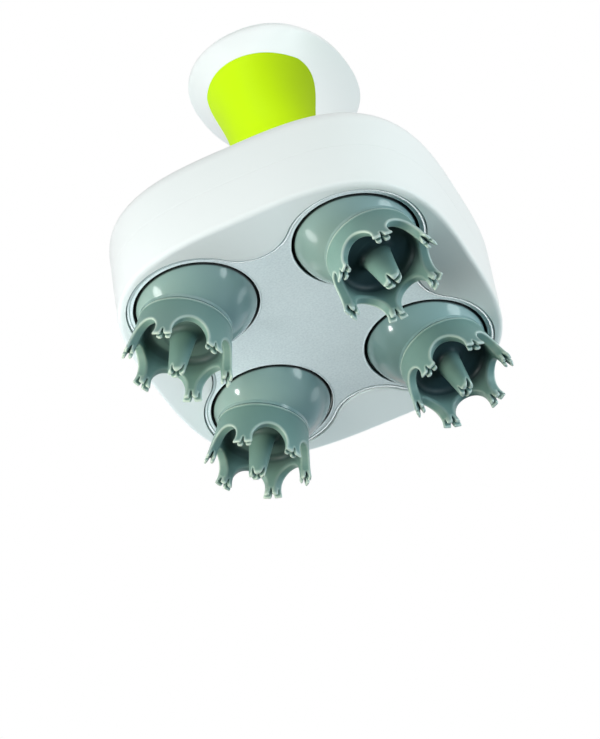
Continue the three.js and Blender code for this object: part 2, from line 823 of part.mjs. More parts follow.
function batteryCradle() {
  const tubeTop = cradleBottom + cradleFloor + cradleHeight;
  const inner = batteryRadius + gap;
  return turned(
    [
      [0, cradleBottom],
      [motorRadius, cradleBottom],
      [motorRadius, cradleBottom + cradleFloor],
      [inner + cradleWall, cradleBottom + cradleFloor],
      [inner + cradleWall, tubeTop],
      [inner, tubeTop],
      [inner, cradleBottom + cradleFloor],
      [0, cradleBottom + cradleFloor],
    ],
    holeSteps,
  );
}

function batteryCell() {
  const top = batteryBottom + batteryLength;
  return turned(
    [
      [0, batteryBottom],
      [batteryRadius - 0.5, batteryBottom],
      [batteryRadius, batteryBottom + 0.5],
      [batteryRadius, top - 0.8],
      [batteryRadius - 0.8, top],
      [batteryRadius / 3, top],
      [batteryRadius / 3, top + 0.7],
      [0, top + 0.7],
    ],
    holeSteps,
  );
}

// Heads. A bell and its claw are drawn about the pivot, with their axis down along -Z.
const bellSeam = -bellLength;
const tiltTurn = -radians(headTilt);

function bell() {
  const ballPoint = (radius, polar) => [
    radius * Math.sin(radians(polar)),
    -radius * Math.cos(radians(polar)),
  ];
  const outside = [bellZoneStart, 80, 65, bellZoneEnd].map((polar) => ballPoint(ballRadius, polar));
  const inside = [bellZoneEnd + 8, bellZoneStart].map((polar) => ballPoint(ballRadius - bellWall, polar));
  const floorHeight = bellSeam + bellFloor;
  const profile = [
    [0, bellSeam - stubLength],
    [stubRadius, bellSeam - stubLength],
    [stubRadius, bellSeam],
    [seamRadius, bellSeam],
    ...outside.reverse(),
    ...inside.reverse(),
    [seamRadius - bellWall, floorHeight],
    [0, floorHeight],
  ];
  const cup = turned(profile, headSteps).rotateY(tiltTurn);
  const boss = rod(bossRadius, -bellLength + 1.5, bossRise, holeSteps);
  const bore = rod(shaftRadius + gap, -bellLength + bellFloor + 3, bossRise + 1);
  return cut(joined(cup, boss), bore);
}

function headShaft() {
  return rod(shaftRadius, pivotHeight - bellLength + bellFloor + 3 + gap, topPlateTop);
}

function claw() {
  const top = bellSeam - gap;
  const floor = top - clawFloor;
  const tip = bellSeam - clawLength;
  const outerTip = tipCircleRadius + clawWall / 2;
  const innerTip = tipCircleRadius - clawWall / 2;
  const half = (floor + tip) / 2;
  const skirt = turned(
    [
      [0, top],
      [seamRadius, top],
      [(seamRadius + outerTip) / 2 - 0.2, half],
      [outerTip, tip],
      [innerTip, tip],
      [(seamRadius + outerTip) / 2 - clawWall, half],
      [seamRadius - clawWall + 0.2, floor],
      [0, floor],
    ],
    headSteps,
  );
  const openHalf = tipCircleRadius * Math.sin(Math.PI / fingerCount) - fingerWidth / 2;
  const arch = new THREE.Shape();
  arch.absellipse(0, 0, openHalf, archRise, 0, Math.PI, false, 0);
  arch.lineTo(-openHalf, -2);
  arch.lineTo(openHalf, -2);
  const depth = outerTip + 2;
  const options = { depth, bevelEnabled: false, curveSegments: 3 };
  const archTool = new THREE.ExtrudeGeometry(arch, options).rotateX(Math.PI / 2).rotateZ(Math.PI);
  const turn = (2 * Math.PI) / fingerCount;
  const fingerTurns = Array.from({ length: fingerCount }, (_, k) => k * turn);
  const arches = fingerTurns.map((angle) =>
    archTool.clone().rotateZ(angle + turn / 2 - Math.PI / 2).translate(0, 0, tip),
  );
  const centreTip = tip - centreFingerExtra;
  const steps = 8;
  const finger = lofted([
    ovalRing(centreFingerTip, centreFingerTip, 3, centreTip, steps),
    ovalRing(centreFingerTip + 0.5, centreFingerTip + 0.3, 2.6, centreTip + 3, steps),
    ovalRing(centreFingerRootWide, centreFingerRootDeep, 2, floor + 0.6, steps),
  ]);
  const stubHole = rod(stubRadius + gap, top - stubLength, top + 1, headSteps);
  return cut(joined(cut(skirt, ...arches), finger), stubHole);
}

// Assembly
function piece(name, geometry, finish) {
  const mesh = new THREE.Mesh(geometry, new THREE.MeshStandardMaterial(colours[finish]));
  mesh.name = name;
  return mesh;
}

function moved(mesh, x, y, z = 0) {
  mesh.position.set(x, y, z);
  return mesh;
}

// The same piece at several places, each named after its own
function copies(name, geometry, finish, places) {
  return places.map((place) => moved(piece(`${name}_${place.name}`, geometry, finish), place.x, place.y));
}

// Turns a claw so that its axis leans with its bell and one finger lies at its phase
function leanFrame(lean, phase) {
  const tilt = radians(headTilt);
  const axis = new THREE.Vector3(
    Math.sin(tilt) * Math.cos(lean),
    Math.sin(tilt) * Math.sin(lean),
    -Math.cos(tilt),
  );
  const across = new THREE.Vector3(1, 0, 0).addScaledVector(axis, -axis.x).normalize();
  const beside = new THREE.Vector3().crossVectors(axis, across);
  const basis = new THREE.Matrix4().makeBasis(across, beside.negate(), axis.clone().negate());
  const spin = new THREE.Quaternion().setFromAxisAngle(new THREE.Vector3(0, 0, 1), -phase);
  return new THREE.Quaternion().setFromRotationMatrix(basis).multiply(spin);
}

const bellGeometry = bell();
const clawGeometry = claw();
const shaftGeometry = headShaft();

function head(place) {
  const group = new THREE.Group();
  group.position.set(place.x * headOffset, place.y * headOffset, 0);
  const sideways = place.x > 0 ? 0 : Math.PI;
  const lean = sideways + place.x * place.y * radians(headLean);
  const cup = piece(`bell_${place.name}`, bellGeometry, "bell");
  cup.rotation.z = lean;
  cup.position.z = pivotHeight;
  const fingers = piece(`claw_${place.name}`, clawGeometry, "claw");
  fingers.quaternion.copy(leanFrame(lean, radians(place.clawPhase)));
  fingers.position.z = pivotHeight;
  const shaft = piece(`head_shaft_${place.name}`, shaftGeometry, "steel");
  const gear = piece(`head_gear_${place.name}`, headGear(place), "nylon");
  group.add(cup, fingers, shaft, gear);
  return group;
}

const heads = new THREE.Group();
heads.add(...headPlaces.map(head));

const housing = new THREE.Group();
housing.add(
  piece("lower_housing", lowerHousing(), "white"),
  piece("face_plate", facePlate(), "plate"),
  piece("body_gasket", bodyGasket(), "rubber"),
  piece("upper_housing", upperHousing(), "white"),
  piece("handle_shell", handleShell(), "white"),
  piece("front_grip", frontGrip(), "lime"),
);

const screwTip = ceiling - 2 * gap;
const housingScrewHead = floorTop + screwHeadHeight / 2 - gap;
const handleScrewTip = bodyTop + handleScrewGrip - gap;
const motorScrewTip = gearheadBottom + motorScrewGrip;
const housingScrew = screw(screwRadius, screwHeadRadius, housingScrewHead, screwTip);
const handleScrew = screw(screwRadius, screwHeadRadius, ceiling - gap, handleScrewTip);
const motorScrew = screw(motorScrewRadius, 2 * motorScrewRadius, topPlateBottom - gap, motorScrewTip);

const drive = new THREE.Group();
drive.add(
  piece("gearbox_base_plate", basePlate(), "frame"),
  piece("gearbox_top_plate", topPlate(), "frame"),
  ...copies("shaft_bush", shaftBush(), "brass", headCentres),
  ...copies("shaft_seal", shaftSeal(), "rubber", headCentres),
  ...copies("gear_axle", rod(axleRadius, basePlateBottom, topPlateTop), "steel", axlePlaces),
  moved(piece("right_centre_gear", centreGear(rightPhase, true), "nylon"), centreOffset, 0),
  moved(piece("left_centre_gear", centreGear(leftPhase, false), "nylon"), -centreOffset, 0),
  piece("drive_pinion", drivePinion(), "brass"),
  piece("motor_gearhead", gearhead(), "steel"),
  piece("motor_can", motorCan(), "steel"),
  piece("battery_cradle", batteryCradle(), "frame"),
  piece("battery_cell", batteryCell(), "battery"),
  ...copies("housing_screw", housingScrew, "steel", screwPlaces),
  ...copies("handle_screw", handleScrew, "steel", handleScrewPlaces),
  ...copies("motor_screw", motorScrew, "steel", motorScrewPlaces),
);

const rim = new THREE.Group();
rim.add(
  piece("top_cover", topCover(), "white"),
  piece("light_ring", lightRing(), "lens"),
  piece("power_button", powerButton(), "white"),
  piece("switch_plunger", switchPlunger(), "rubber"),
  piece("tact_switch", tactSwitch(), "frame"),
  piece("control_board", controlBoard(), "board"),
  ...copies("board_screw", boardScrew(), "steel", boardScrewPlaces),
);
rim.rotation.x = radians(rimTilt);
rim.position.set(0, rimCentreY, rimHeight);

const product = new THREE.Group();
product.add(housing, heads, drive, rim, piece("charging_socket", chargingSocket(), "frame"));

const massager = new THREE.Group();
massager.add(product);
massager.updateMatrixWorld(true);
product.position.z = -new THREE.Box3().setFromObject(heads, true).min.z;

export default massager;
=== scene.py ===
"""The looks of the electric scalp massager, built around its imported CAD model.

Pieces are drawn in millimetres with heights counted from the outer face of the face
plate, as the CAD source does, and stored in metres in the row frame.
"""

import json
import math

import bmesh
import bpy
import numpy as np
from mathutils import Matrix, Vector

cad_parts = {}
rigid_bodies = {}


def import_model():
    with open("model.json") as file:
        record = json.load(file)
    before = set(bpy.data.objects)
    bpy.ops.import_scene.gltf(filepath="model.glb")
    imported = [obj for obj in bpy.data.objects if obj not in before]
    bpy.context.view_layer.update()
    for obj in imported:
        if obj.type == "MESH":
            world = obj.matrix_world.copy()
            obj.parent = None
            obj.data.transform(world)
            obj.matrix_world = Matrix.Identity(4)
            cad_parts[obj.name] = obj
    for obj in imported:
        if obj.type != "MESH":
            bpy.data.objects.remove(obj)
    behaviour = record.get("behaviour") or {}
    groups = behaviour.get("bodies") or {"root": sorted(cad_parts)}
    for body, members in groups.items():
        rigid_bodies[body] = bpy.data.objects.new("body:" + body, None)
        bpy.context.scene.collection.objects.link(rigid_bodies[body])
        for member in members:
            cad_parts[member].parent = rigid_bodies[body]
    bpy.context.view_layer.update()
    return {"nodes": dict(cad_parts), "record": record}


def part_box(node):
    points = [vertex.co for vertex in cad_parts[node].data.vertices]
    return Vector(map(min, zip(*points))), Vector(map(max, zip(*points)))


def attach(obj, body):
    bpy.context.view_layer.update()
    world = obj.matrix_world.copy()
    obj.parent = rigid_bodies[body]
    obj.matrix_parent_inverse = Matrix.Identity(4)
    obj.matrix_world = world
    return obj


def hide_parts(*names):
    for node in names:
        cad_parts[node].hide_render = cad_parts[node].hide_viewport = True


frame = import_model()

MM = 0.001
PLATE_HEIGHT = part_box("face_plate")[0][2] / MM
GAP = 0.3

# Body
BODY_HALF = 55.7
BODY_FLARE = 0.1
BODY_SQUARENESS = 3.2
BODY_STEPS = 288
BODY_BOTTOM = -0.7
BOTTOM_ROUND = 1.7
WALL_TOP = 27.9
SHOULDER_RISE = 9.1
SHOULDER_REACH = 10.3
BODY_TOP = WALL_TOP + SHOULDER_RISE
FLAT_TOP_HALF = 34
BODY_WALL = 2.4
LOW_WALL_RING = 9
HIGH_WALL_RING = 22
INNER_FLOOR = 4
INNER_LEDGE = 1.5
EDGE_EASE = 0.08
EDGE_DROP = 0.35
PARTING_HEIGHT = 16.35
PARTING_GROOVE = 0.06
PARTING_GAP = 0.02
# How far in from the wall and how far from the parting line the groove's edge passes
PARTING_EDGE = ((0, 0.5), (0, 0.35), (PARTING_GROOVE, 0.12), (PARTING_GROOVE, PARTING_GAP))

# Face plate
HOLE_RADIUS = 20
HOLE_STEPS = 112
HEAD_OFFSET = 27.5
LOBE_RADIUS = 22
LOBE_STEPS = 92
WAIST_HALF = 37
WAIST_STEPS = 44
PLATE_THICKNESS = 1.5
BEAD_WIDTH = 1.0
BEAD_RISE = 0.28
LIP_WIDTH = 0.5
LIP_RISE = 0.15

# Bells: the ball zone and its hollow start and end at degrees from straight down
PIVOT_HEIGHT = 8.8
HEAD_TILT = math.radians(16)
HEAD_LEAN = math.radians(8)
BELL_CLEARANCE = 0.9
BALL_RADIUS = math.hypot(HOLE_RADIUS - BELL_CLEARANCE, PIVOT_HEIGHT)
BALL_START = 96
BALL_END = 44.7
HOLLOW_END = 58
BELL_STEPS = 128
BELL_LENGTH = 16
BELL_WALL = 2
BELL_FLOOR = 2.6
SEAM_RADIUS = 14.7

# Claws
FINGER_COUNT = 6
FINGER_WIDTH = 4.6
CLAW_TOP = 16.3
CLAW_FLOOR = 19.7
CLAW_TIP = 32.5
CLAW_HALF_WALL = 1.5
CLAW_FLARE = 1.25
FLOOR_RADIUS = 12.6
FLOOR_FILLET = 2.0
TOP_ROUND = 0.5
TIP_ROUND = 0.7
TIP_SPLAY = 0.15
TIP_CIRCLE_RADIUS = 15.9
CORNER_ROUND = 0.4
ARCH_RISE = 8.6
NUB_LENGTH = 2.4
SLOT_SLOPE = 0.22
NECK_BEAD_RADIUS = 0.55
CENTRE_TIP = 34.8
CENTRE_ROOT = (5.2, 3.6)
CENTRE_END = (3.1, 2.1)
CENTRE_ROUND = 0.9
CENTRE_FILLET = 1.6
CLAW_CELL = 0.25
CUP_MOUTH = CLAW_TIP - 3
CUP_RADIUS = SEAM_RADIUS - 1.3
# Painted shade deep in the cups: stronger on the right heads, whose cups face away from the light
RIGHT_CUP_SHADE = 0.3
LEFT_CUP_SHADE = 0.19

# Handle
HANDLE_FOOT = BODY_TOP + GAP
HANDLE_STEPS = 160
RIM_HEIGHT = 113.3
HANDLE_HEIGHT = RIM_HEIGHT - HANDLE_FOOT
NECK_HEIGHT = HANDLE_FOOT + 0.46 * HANDLE_HEIGHT
NECK_HALF_WIDTH = 15.9
NECK_HALF_LENGTH = 18.1
NECK_CENTRE_Y = 1
NECK_BORE = 13.2
FOOT_FLARE = 6.1
FOOT_LEDGE = 4
HANDLE_WALL = 3.2
RIM_TILT = 11
RIM_TURN = Matrix.Rotation(math.radians(RIM_TILT), 3, "X")
RIM_CENTRE_Y = 5
RIM_HALF_WIDTH = 26.9
RIM_HALF_LENGTH = 37
SOCKET_RADIUS = 4
SOCKET_DROP = 5.5
SOCKET_START = 10

# Grip: its reaches are counted towards the front from the handle's middle
GRIP_THICKNESS = 1.3
GRIP_DROP = 8.6
GRIP_KNEE_DROP = 24
GRIP_KNEE_RISE = 9
GRIP_FOOT_RISE = 6.5
GRIP_FOOT_BEND = 6
GRIP_FOOT_REACH = 0.43 * RIM_HALF_LENGTH
GRIP_KNEE_REACH = 0.12 * RIM_HALF_LENGTH
GRIP_CREST_REACH = 0.45 * RIM_HALF_LENGTH
GRIP_CREST_BEND = 0.55
GRIP_CURVE_STEPS = 28
GRIP_GAP = 0.07
GRIP_BED_GAP = 0.05
CUTTER_FRONT = RIM_HALF_LENGTH + 8
CUTTER_SIDE = RIM_HALF_WIDTH + 2

# Cap
CAP_SQUARENESS = 2.3
CAP_STEPS = 96
DOME_RISE = 11.17
DOME_END = math.radians(74)
DOME_STEEP = math.radians(60)
DOME_TOP = DOME_RISE * math.sin(DOME_END)
COVER_SEAM = math.radians(26)
COVER_WALL = 2.2
SEAM_INSET = 0.25
SEAM_EASE = 0.15
BUTTON_RADIUS = 7.3
BUTTON_GAP = 0.25
BUTTON_DEPTH = 4.4
BUTTON_PROUD = 0.05
BUTTON_DISH = 0.5
# How far in from the button's side and how far below its crown its edge passes
BUTTON_EDGE = ((0, 0.6), (0.15, 0.25), (0.6, 0.05), (1.1, 0), (2, 0.12), (4, 0.4))
RING_RADIUS = 8.6
RING_DEPTH = 3
RING_SINK = 0.2
RING_ROUND = 0.3
OPENING = RING_RADIUS + GAP
OPENING_EDGE = ((1.2, 0.02), (0.3, 0.04), (0, 0.3), (0, COVER_WALL))

HEADS = {
    "back_right": {"x": 1, "y": 1, "phase": 52},
    "back_left": {"x": -1, "y": 1, "phase": 21.5},
    "front_left": {"x": -1, "y": -1, "phase": 19.3},
    "front_right": {"x": 1, "y": -1, "phase": 13.1},
}

# Finishes
COAT_ROUGHNESS = 0.07
BUMP_DEPTH = 0.0001
# The colour of the painted shade in narrow gaps
GAP_SHADE_COLOUR = (0.004, 0.005, 0.006, 1)
FINISHES = {}


# Node code
def set_inputs(tree, node, inputs):
    """Links a node's inputs to sockets, or gives them values."""
    for socket, value in inputs.items():
        if isinstance(value, bpy.types.NodeSocket):
            tree.links.new(value, node.inputs[socket])
        else:
            node.inputs[socket].default_value = value


def add_node(tree, kind, inputs=None, **settings):
    """A new node, whose settings come before its inputs because they change its sockets."""
    node = tree.nodes.new(kind)
    for setting, value in settings.items():
        setattr(node, setting, value)
    set_inputs(tree, node, inputs or {})
    return node


# Shader groups and materials
def new_group(name, inputs):
    """A shader group with colour or number inputs, and the sockets that give them inside."""
    group = bpy.data.node_groups.new(name, "ShaderNodeTree")
    for socket, value in inputs.items():
        kind = "NodeSocketColor" if isinstance(value, tuple) else "NodeSocketFloat"
        made = group.interface.new_socket(socket, in_out="INPUT", socket_type=kind)
        made.default_value = value
    return group, add_node(group, "NodeGroupInput").outputs


def end_group(group, results):
    """Gives a group its outputs, of the kinds of the sockets that feed them."""
    for socket, value in results.items():
        kind = "NodeSocketColor" if value.type == "RGBA" else "NodeSocketFloat"
        group.interface.new_socket(socket, in_out="OUTPUT", socket_type=kind)
    add_node(group, "NodeGroupOutput", results)
    return group


def mix_colours(tree, share, first, second):
    """The colour between two, where a share of 1 gives the second."""
    inputs = {"Factor": share, 6: first, 7: second}
    return add_node(tree, "ShaderNodeMix", inputs, data_type="RGBA").outputs[2]


def grain_group():
    """Fine moulded grain as a height, with slow cloudy tone and speckle, in object space."""
    numbers = {"Grain Scale": 2500.0, "Tone Scale": 25.0, "Speckle": 0.0, "Smooth": 0.3, "Rough": 0.5}
    colours = {"Light": (1, 1, 1, 1), "Dark": (0, 0, 0, 1)}
    group, given = new_group("moulded_grain", {**numbers, **colours})
    place = add_node(group, "ShaderNodeTexCoord").outputs["Object"]
    fine = {"Vector": place, "Scale": given["Grain Scale"], "Detail": 3}
    slow = {"Vector": place, "Scale": given["Tone Scale"], "Detail": 4}
    grain = add_node(group, "ShaderNodeTexNoise", fine).outputs["Fac"]
    tone = add_node(group, "ShaderNodeTexNoise", slow).outputs["Fac"]
    centred = add_node(group, "ShaderNodeMath", {0: grain, 1: 0.5}, operation="SUBTRACT")
    speckled = {0: centred.outputs["Value"], 1: given["Speckle"], 2: tone}
    share = add_node(group, "ShaderNodeMath", speckled, operation="MULTIPLY_ADD")
    spread = {
        "Value": grain,
        "From Min": 0.3,
        "From Max": 0.7,
        "To Min": given["Smooth"],
        "To Max": given["Rough"],
    }
    results = {
        "Color": mix_colours(group, share.outputs["Value"], given["Light"], given["Dark"]),
        "Roughness": add_node(group, "ShaderNodeMapRange", spread).outputs["Result"],
        "Height": grain,
    }
    return end_group(group, results)


def painted_gap_shade_group():
    """Paints shade into a colour from one height up to another, the shade of a narrow gap."""
    inputs = {"Color": (1, 1, 1, 1), "Start Height": 0.0, "End Height": 0.001, "Depth": 0.9}
    group, given = new_group("recess_shade", inputs)
    place = add_node(group, "ShaderNodeTexCoord").outputs["Object"]
    split = add_node(group, "ShaderNodeSeparateXYZ", {"Vector": place})
    span = {"From Min": given["Start Height"], "From Max": given["End Height"]}
    heights = {"Value": split.outputs["Z"], **span, "To Max": given["Depth"]}
    share = add_node(group, "ShaderNodeMapRange", heights, interpolation_type="SMOOTHSTEP")
    shaded = mix_colours(group, share.outputs["Result"], given["Color"], GAP_SHADE_COLOUR)
    return end_group(group, {"Color": shaded})


def painted_light_group():
    """Paints highlight on convex edges and shade in hollows, by a piece's edge attribute."""
    colours = {"Color": (1, 1, 1, 1), "Edge Color": (1, 1, 1, 1), "Hollow Color": (0, 0, 0, 1)}
    strengths = {"Edge Strength": 0.75, "Hollow Strength": 0.86}
    group, given = new_group("edge_tint", {**colours, **strengths})
    edge = add_node(group, "ShaderNodeAttribute", attribute_name="edge").outputs["Fac"]
    colour = given["Color"]
    for side, flat, full in (("Edge", 0.56, 0.85), ("Hollow", 0.46, 0.2)):
        span = {"Value": edge, "From Min": flat, "From Max": full, "To Max": given[f"{side} Strength"]}
        share = add_node(group, "ShaderNodeMapRange", span).outputs["Result"]
        colour = mix_colours(group, share, colour, given[f"{side} Color"])
    return end_group(group, {"Color": colour})


GRAIN = grain_group()
PAINTED_GAP_SHADE = painted_gap_shade_group()
PAINTED_EDGE_LIGHT = painted_light_group()


def linear(red, green, blue):
    """A screen colour from 0 to 255 as the light values that shaders use."""
    return tuple((c / 255) ** 2.2 for c in (red, green, blue)) + (1.0,)


def material(name, light, dark, rough, grain, bump, metallic=0.0, coat=0.0, speckle=0.0, mirror=0.5):
    """Makes the finish of a material slot, between two screen colours and two roughnesses."""
    made = bpy.data.materials.new(name)
    made.use_nodes = True
    tree = made.node_tree
    numbers = {"Grain Scale": grain, "Speckle": speckle, "Smooth": rough[0], "Rough": rough[1]}
    inputs = {**numbers, "Light": linear(*light), "Dark": linear(*dark)}
    effect = add_node(tree, "ShaderNodeGroup", inputs, node_tree=GRAIN).outputs
    raised = {"Strength": bump, "Distance": BUMP_DEPTH, "Height": effect["Height"]}
    relief = add_node(tree, "ShaderNodeBump", raised)
    looks = {
        "Base Color": effect["Color"],
        "Roughness": effect["Roughness"],
        "Normal": relief.outputs["Normal"],
        "Metallic": metallic,
        "Coat Weight": coat,
        "Coat Roughness": COAT_ROUGHNESS,
        "Specular IOR Level": mirror,
    }
    set_inputs(tree, tree.nodes["Principled BSDF"], looks)
    FINISHES[name] = made


def change_colour(name, group, inputs):
    """Puts a group between a material's colour and its shader."""
    tree = FINISHES[name].node_tree
    colour = tree.nodes["Principled BSDF"].inputs["Base Color"]
    source = colour.links[0].from_socket
    effect = add_node(tree, "ShaderNodeGroup", {"Color": source, **inputs}, node_tree=group)
    tree.links.new(effect.outputs["Color"], colour)


def paint_gap_shade(name, start, end, depth):
    """Paints shade onto a material between two heights, in millimetres above the plate's face."""
    heights = {"Start Height": (PLATE_HEIGHT + start) * MM, "End Height": (PLATE_HEIGHT + end) * MM}
    change_colour(name, PAINTED_GAP_SHADE, {**heights, "Depth": depth})


material("shell_white", (243, 246, 245), (238, 242, 242), (0.28, 0.34), 1800, 0.006)
material("plate_grey", (236, 250, 252), (206, 222, 226), (0.42, 0.6), 1500, 0.14, speckle=1.3)
material("plate_bead", (206, 219, 222), (192, 206, 210), (0.08, 0.14), 1500, 0.01, coat=0.8)
material("lime_grip", (207, 246, 2), (200, 241, 1), (0.55, 0.66), 2200, 0.04, mirror=0.2)
material("bell_sage", (149, 178, 176), (136, 164, 164), (0.1, 0.2), 1500, 0.01, coat=0.5)
material("claw_silicone", (124, 158, 151), (107, 140, 136), (0.34, 0.46), 1500, 0.05)
material("gear_nylon", (238, 234, 222), (226, 221, 206), (0.4, 0.5), 2000, 0.05)
material("frame_plastic", (74, 80, 84), (60, 66, 70), (0.5, 0.65), 1600, 0.1)
material("steel", (198, 202, 206), (178, 183, 188), (0.18, 0.32), 3000, 0.03, metallic=1.0)
material("brass", (214, 178, 110), (194, 156, 88), (0.2, 0.34), 3000, 0.03, metallic=1.0)
material("seal_rubber", (44, 48, 50), (34, 38, 40), (0.6, 0.8), 1800, 0.12)
material("board", (34, 120, 76), (24, 96, 60), (0.3, 0.45), 1200, 0.05)
material("cell_wrap", (70, 134, 196), (56, 116, 176), (0.25, 0.4), 900, 0.03)
material("light_lens", (214, 232, 206), (198, 220, 192), (0.2, 0.3), 1600, 0.02)

# Painted shade: the bells, the holes' walls and the bead's feet darken towards the narrow gaps beside them
paint_gap_shade("bell_sage", start=-0.5, end=0.05, depth=0.98)
paint_gap_shade("plate_grey", start=0.2, end=0.6, depth=0.97)
paint_gap_shade("plate_bead", start=-0.2, end=-0.01, depth=0.85)
# Painted highlight on the claws' convex edges and painted shade in their hollows and deep in their cups
painted_rim_light_and_cup_shade = {"Edge Color": linear(208, 226, 218), "Hollow Color": linear(20, 40, 49)}
change_colour("claw_silicone", PAINTED_EDGE_LIGHT, painted_rim_light_and_cup_shade)


# Mesh code
def new_object(name, data):
    made = bpy.data.objects.new(name, data)
    bpy.context.scene.collection.objects.link(made)
    return made


def face_outward(mesh):
    shell = bmesh.new()
    shell.from_mesh(mesh)
    bmesh.ops.recalc_face_normals(shell, faces=shell.faces)
    shell.to_mesh(mesh)
    shell.free()


def keep_result(made):
    """Leaves a piece as the plain mesh that its modifiers make of it."""
    graph = bpy.context.evaluated_depsgraph_get()
    result = bpy.data.meshes.new_from_object(made.evaluated_get(graph))
    made.modifiers.clear()
    made.data = result


def link_mesh(name, vertices, faces):
    """An object from points in millimetres above the plate's face."""
    mesh = bpy.data.meshes.new(name)
    lifted = (np.asarray(vertices, float) + (0, 0, PLATE_HEIGHT)) * MM
    mesh.from_pydata(lifted.tolist(), [], [list(face) for face in faces])
    face_outward(mesh)
    return new_object(name, mesh)


def dress(made, slot, body, replaced, sharp=34):
    """Gives a finished piece its material and its body, and hides the nodes it stands for."""
    mesh = made.data
    mesh.polygons.foreach_set("use_smooth", [True] * len(mesh.polygons))
    mesh.set_sharp_from_angle(angle=math.radians(sharp))
    if not any(mesh.materials):
        mesh.materials.append(FINISHES[slot])
    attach(made, body)
    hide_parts(*replaced)


def rings_to_faces(rings, closed):
    """Points and four-sided faces through rings of equally many points."""
    count = len(rings[0])
    points = np.concatenate([np.asarray(ring, float) for ring in rings])
    faces = []
    last = len(rings) if closed else len(rings) - 1
    for i in range(last):
        here = i * count
        above = ((i + 1) % len(rings)) * count
        for j in range(count):
            k = (j + 1) % count
            faces.append((here + j, here + k, above + k, above + j))
    return points, faces


def ring_piece(name, rings):
    """A closed shell through rings, the last of which joins the first."""
    return link_mesh(name, *rings_to_faces(rings, closed=True))


def prism(name, ends):
    """A solid between two flat end rings."""
    points, faces = rings_to_faces(ends, closed=False)
    count = len(ends[0])
    faces += [tuple(range(count)), tuple(range(count, 2 * count))]
    return link_mesh(name, points, faces)


def even_angles(count):
    return np.linspace(0, 2 * math.pi, count, endpoint=False)


def blend(a, b, share):
    return a + (b - a) * share


def share_between(value, start, end):
    """0 at the start, 1 at the end and no less or more outside."""
    return min(max((value - start) / (end - start), 0), 1)


def oval(half_x, half_y, squareness, height, angles):
    """A ring on a superellipse; height is a number or one number for each angle."""
    c = np.cos(angles)
    s = np.sin(angles)
    reach = (np.abs(c) ** squareness + np.abs(s) ** squareness) ** (-1 / squareness)
    return np.stack([half_x * reach * c, half_y * reach * s, np.zeros_like(c) + height], 1)


def rounded(profile, radius):
    """A closed profile with its corners rounded."""
    points = [Vector(p) for p in profile]
    smooth = []
    for i, corner in enumerate(points):
        before = points[i - 1] - corner
        after = points[(i + 1) % len(points)] - corner
        reach = min(radius, before.length / 2.1, after.length / 2.1)
        start = corner + before.normalized() * reach
        end = corner + after.normalized() * reach
        for t in (0, 0.25, 0.5, 0.75, 1):
            smooth.append(tuple(start * (1 - t) ** 2 + corner * (2 * t * (1 - t)) + end * t**2))
    return smooth


# Geometry Nodes trees
def geometry_tree(name, inputs):
    """A tree whose named inputs follow its geometry input, and the sockets that give them."""
    tree = bpy.data.node_groups.new(name, "GeometryNodeTree")
    for socket, kind in {"Geometry": "Geometry", **inputs, "Finish": "Material"}.items():
        tree.interface.new_socket(socket, in_out="INPUT", socket_type="NodeSocket" + kind)
    tree.interface.new_socket("Geometry", in_out="OUTPUT", socket_type="NodeSocketGeometry")
    return tree, add_node(tree, "NodeGroupInput").outputs


def sweep(tree, given, path, profile):
    """Runs a profile along a level path, then ends the tree with the finish."""
    upright = add_node(tree, "GeometryNodeSetCurveNormal", {"Curve": path}, mode="Z_UP")
    run = {"Curve": upright.outputs["Curve"], "Profile Curve": profile}
    swept = add_node(tree, "GeometryNodeCurveToMesh", run)
    ends = {"Geometry": swept.outputs["Mesh"], "Distance": 1e-6}
    shape = add_node(tree, "GeometryNodeMergeByDistance", ends).outputs["Geometry"]
    if "Place" in given:
        move = {"Geometry": shape, "Translation": given["Place"], "Rotation": given["Turn"]}
        shape = add_node(tree, "GeometryNodeTransform", move).outputs["Geometry"]
    real = add_node(tree, "GeometryNodeRealizeInstances", {"Geometry": shape})
    paint = {"Geometry": real.outputs["Geometry"], "Material": given["Finish"]}
    finished = add_node(tree, "GeometryNodeSetMaterial", paint)
    add_node(tree, "NodeGroupOutput", {"Geometry": finished.outputs["Geometry"]})


def turned_tree():
    """Turns a drawn wall profile about an upright axis, then places it."""
    sizes = {"Path Radius": "Float", "Steps": "Int"}
    placing = {"Place": "Vector", "Turn": "Rotation"}
    tree, given = geometry_tree("turned_wall", {"Profile": "Object", **sizes, **placing})
    circle = {"Resolution": given["Steps"], "Radius": given["Path Radius"]}
    path = add_node(tree, "GeometryNodeCurvePrimitiveCircle", circle)
    drawn = add_node(tree, "GeometryNodeObjectInfo", {"Object": given["Profile"]})
    inward = add_node(tree, "ShaderNodeMath", {0: given["Path Radius"], 1: -1}, operation="MULTIPLY")
    offset = add_node(tree, "ShaderNodeCombineXYZ", {"X": inward.outputs["Value"]})
    move = {"Geometry": drawn.outputs["Geometry"], "Translation": offset.outputs["Vector"]}
    moved = add_node(tree, "GeometryNodeTransform", {**move, "Scale": (1, -1, 1)})
    profile = add_node(tree, "GeometryNodeMeshToCurve", {"Mesh": moved.outputs["Geometry"]})
    sweep(tree, given, path.outputs["Curve"], profile.outputs["Curve"])
    return tree


